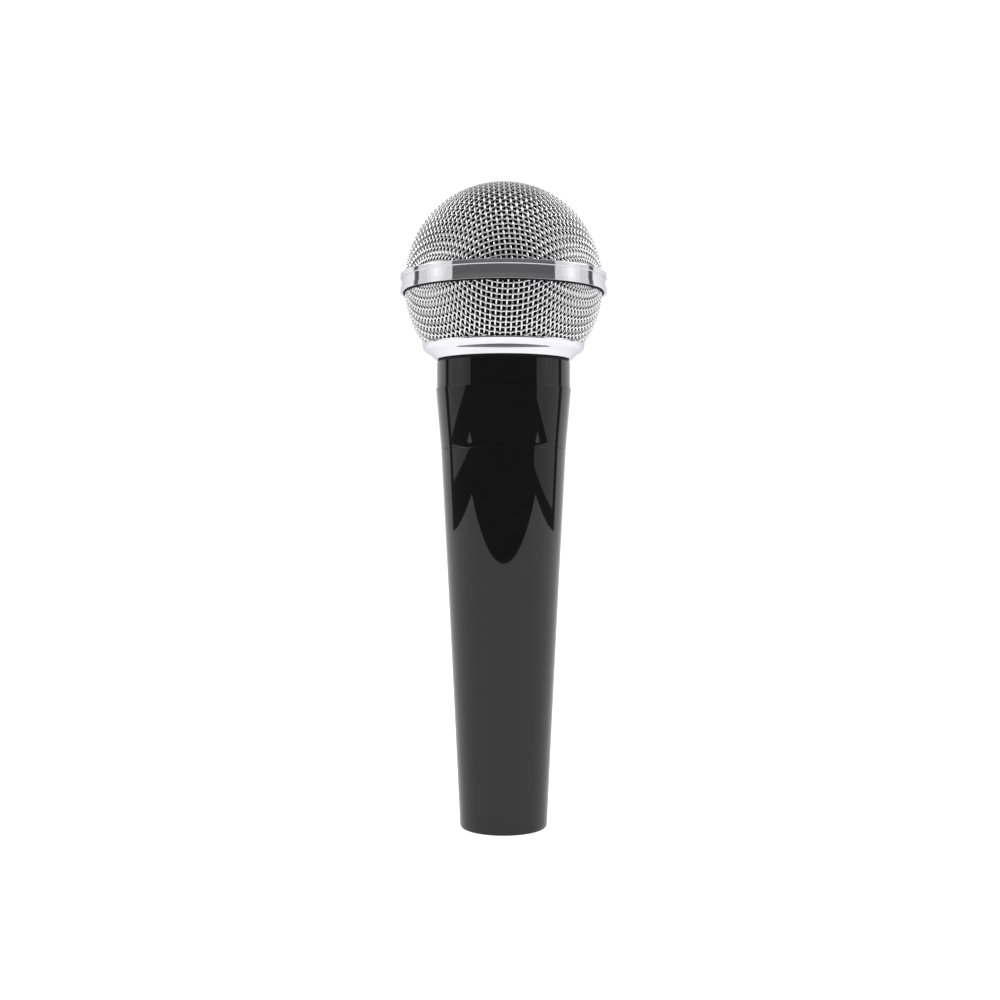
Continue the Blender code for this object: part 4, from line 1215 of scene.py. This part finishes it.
def make_lamps():
    """Two tall soft lamps, one on each side, a soft glow in the middle of each at the height
    that the band reflects, and two small softboxes higher up."""
    side_out, front, back, high = 1150.0, -720.0, 374.0, 1600.0
    side_radiance, glow_radiance, upper_radiance = 0.60, 0.115, 3.9
    for name, side, low in (("left_lamp", -1.0, 30.0), ("right_lamp", 1.0, 0.0)):
        middle = ((front + back) / 2.0, (low + high) / 2.0)
        size = (back - front, high - low)
        add_lamp(name, (side * side_out, *middle), (0.0, *middle), size, side_radiance)
    glow_middle = (-215.0, 326.0)
    glows = ((1140.0, 560.0, 320.0), (1130.0, 330.0, 220.0), (1120.0, 150.0, 130.0))
    for name, side in (("left_glow", -1.0), ("right_glow", 1.0)):
        for out, *size in glows:
            place, aim = (side * out, *glow_middle), (0.0, *glow_middle)
            add_lamp(name, place, aim, size, glow_radiance, "ELLIPSE")
    azimuth, elevation, distance = math.radians(100.0), math.radians(42.0), 1300.0
    flat, height = distance * math.cos(elevation), distance * math.sin(elevation)
    aim, size = (0.0, 0.0, 100.0), (600.0, 500.0)
    for name, side in (("upper_left_lamp", -1.0), ("upper_right_lamp", 1.0)):
        place = (side * flat * math.sin(azimuth), -flat * math.cos(azimuth), height)
        add_lamp(name, place, aim, size, upper_radiance)


def make_world():
    """A room that is white behind the microphone, dark in front of it and dim above. The
    camera itself sees plain white."""
    dark, grey, ceiling, white, seen_white = 0.11, 0.40, 0.42, 0.97, 1.1
    grey_from, grey_to = 0.2, 0.5
    ceiling_from, ceiling_to = 0.75, 0.95
    white_edge, white_full = math.radians(64.0), math.radians(60.0)
    world = bpy.data.worlds.new("studio")
    bpy.context.scene.world = world
    world.use_nodes = True
    world.node_tree.nodes.clear()
    tree = NodeTree(world.node_tree)
    direction = tree.node("TexCoord", {}, "Generated")
    flat = tree.node("VectorMath", {0: direction, 1: (1.0, 1.0, 0.0)}, operation="MULTIPLY")
    unit = tree.node("VectorMath", {0: flat}, operation="NORMALIZE")
    backwards = {0: unit, 1: (0.0, 1.0, 0.0)}
    behind = tree.node("VectorMath", backwards, "Value", operation="DOT_PRODUCT")
    rise = tree.node("SeparateXYZ", {0: direction}, "Z")
    front = tree.ramp(rise, grey_from, grey_to, dark, grey)
    back = tree.ramp(behind, math.cos(white_edge), math.cos(white_full), front, white)
    overhead = tree.ramp(rise, ceiling_from, ceiling_to)
    room = tree.node("Mix", {0: overhead, 2: back, 3: ceiling}, data_type="FLOAT")
    camera_ray = tree.node("LightPath", {}, "Is Camera Ray")
    seen = tree.node("Mix", {0: camera_ray, 2: room, 3: seen_white}, data_type="FLOAT")
    sky = tree.node("Background", {"Color": (1.0, 1.0, 1.0, 1.0), "Strength": seen})
    tree.node("OutputWorld", {"Surface": sky})


def main():
    bpy.context.scene.view_settings.view_transform = "Standard"
    make_camera()
    make_floor()
    make_lamps()
    make_world()
    finish = {name: plain_finish(name) for name in PLAIN_FINISHES}
    black, plate, wire = lacquer(), chrome(), wire_finish()
    make_mesh_ball(wire)
    make_band(plate, finish["rubber"])
    make_collar(plate, finish["blackened_zinc"])
    make_grille_rings(finish)
    make_foam(foam_finish())
    make_capsule_shells(finish)
    make_screen(wire)
    make_motor(finish)
    make_lugs(finish["silver_plate"])
    make_moving_system(finish)
    make_lower_tube(black)
    make_upper_tube(black)
    make_sleeve(black)
    make_shock_mount(finish["rubber"])
    make_core(finish["sheet_steel"])
    make_bobbin(finish["bobbin_plastic"])
    make_winding(finish["enamelled_copper"])
    make_cradles(finish["rubber"])
    make_socket(finish)
    make_leads(finish)


main()
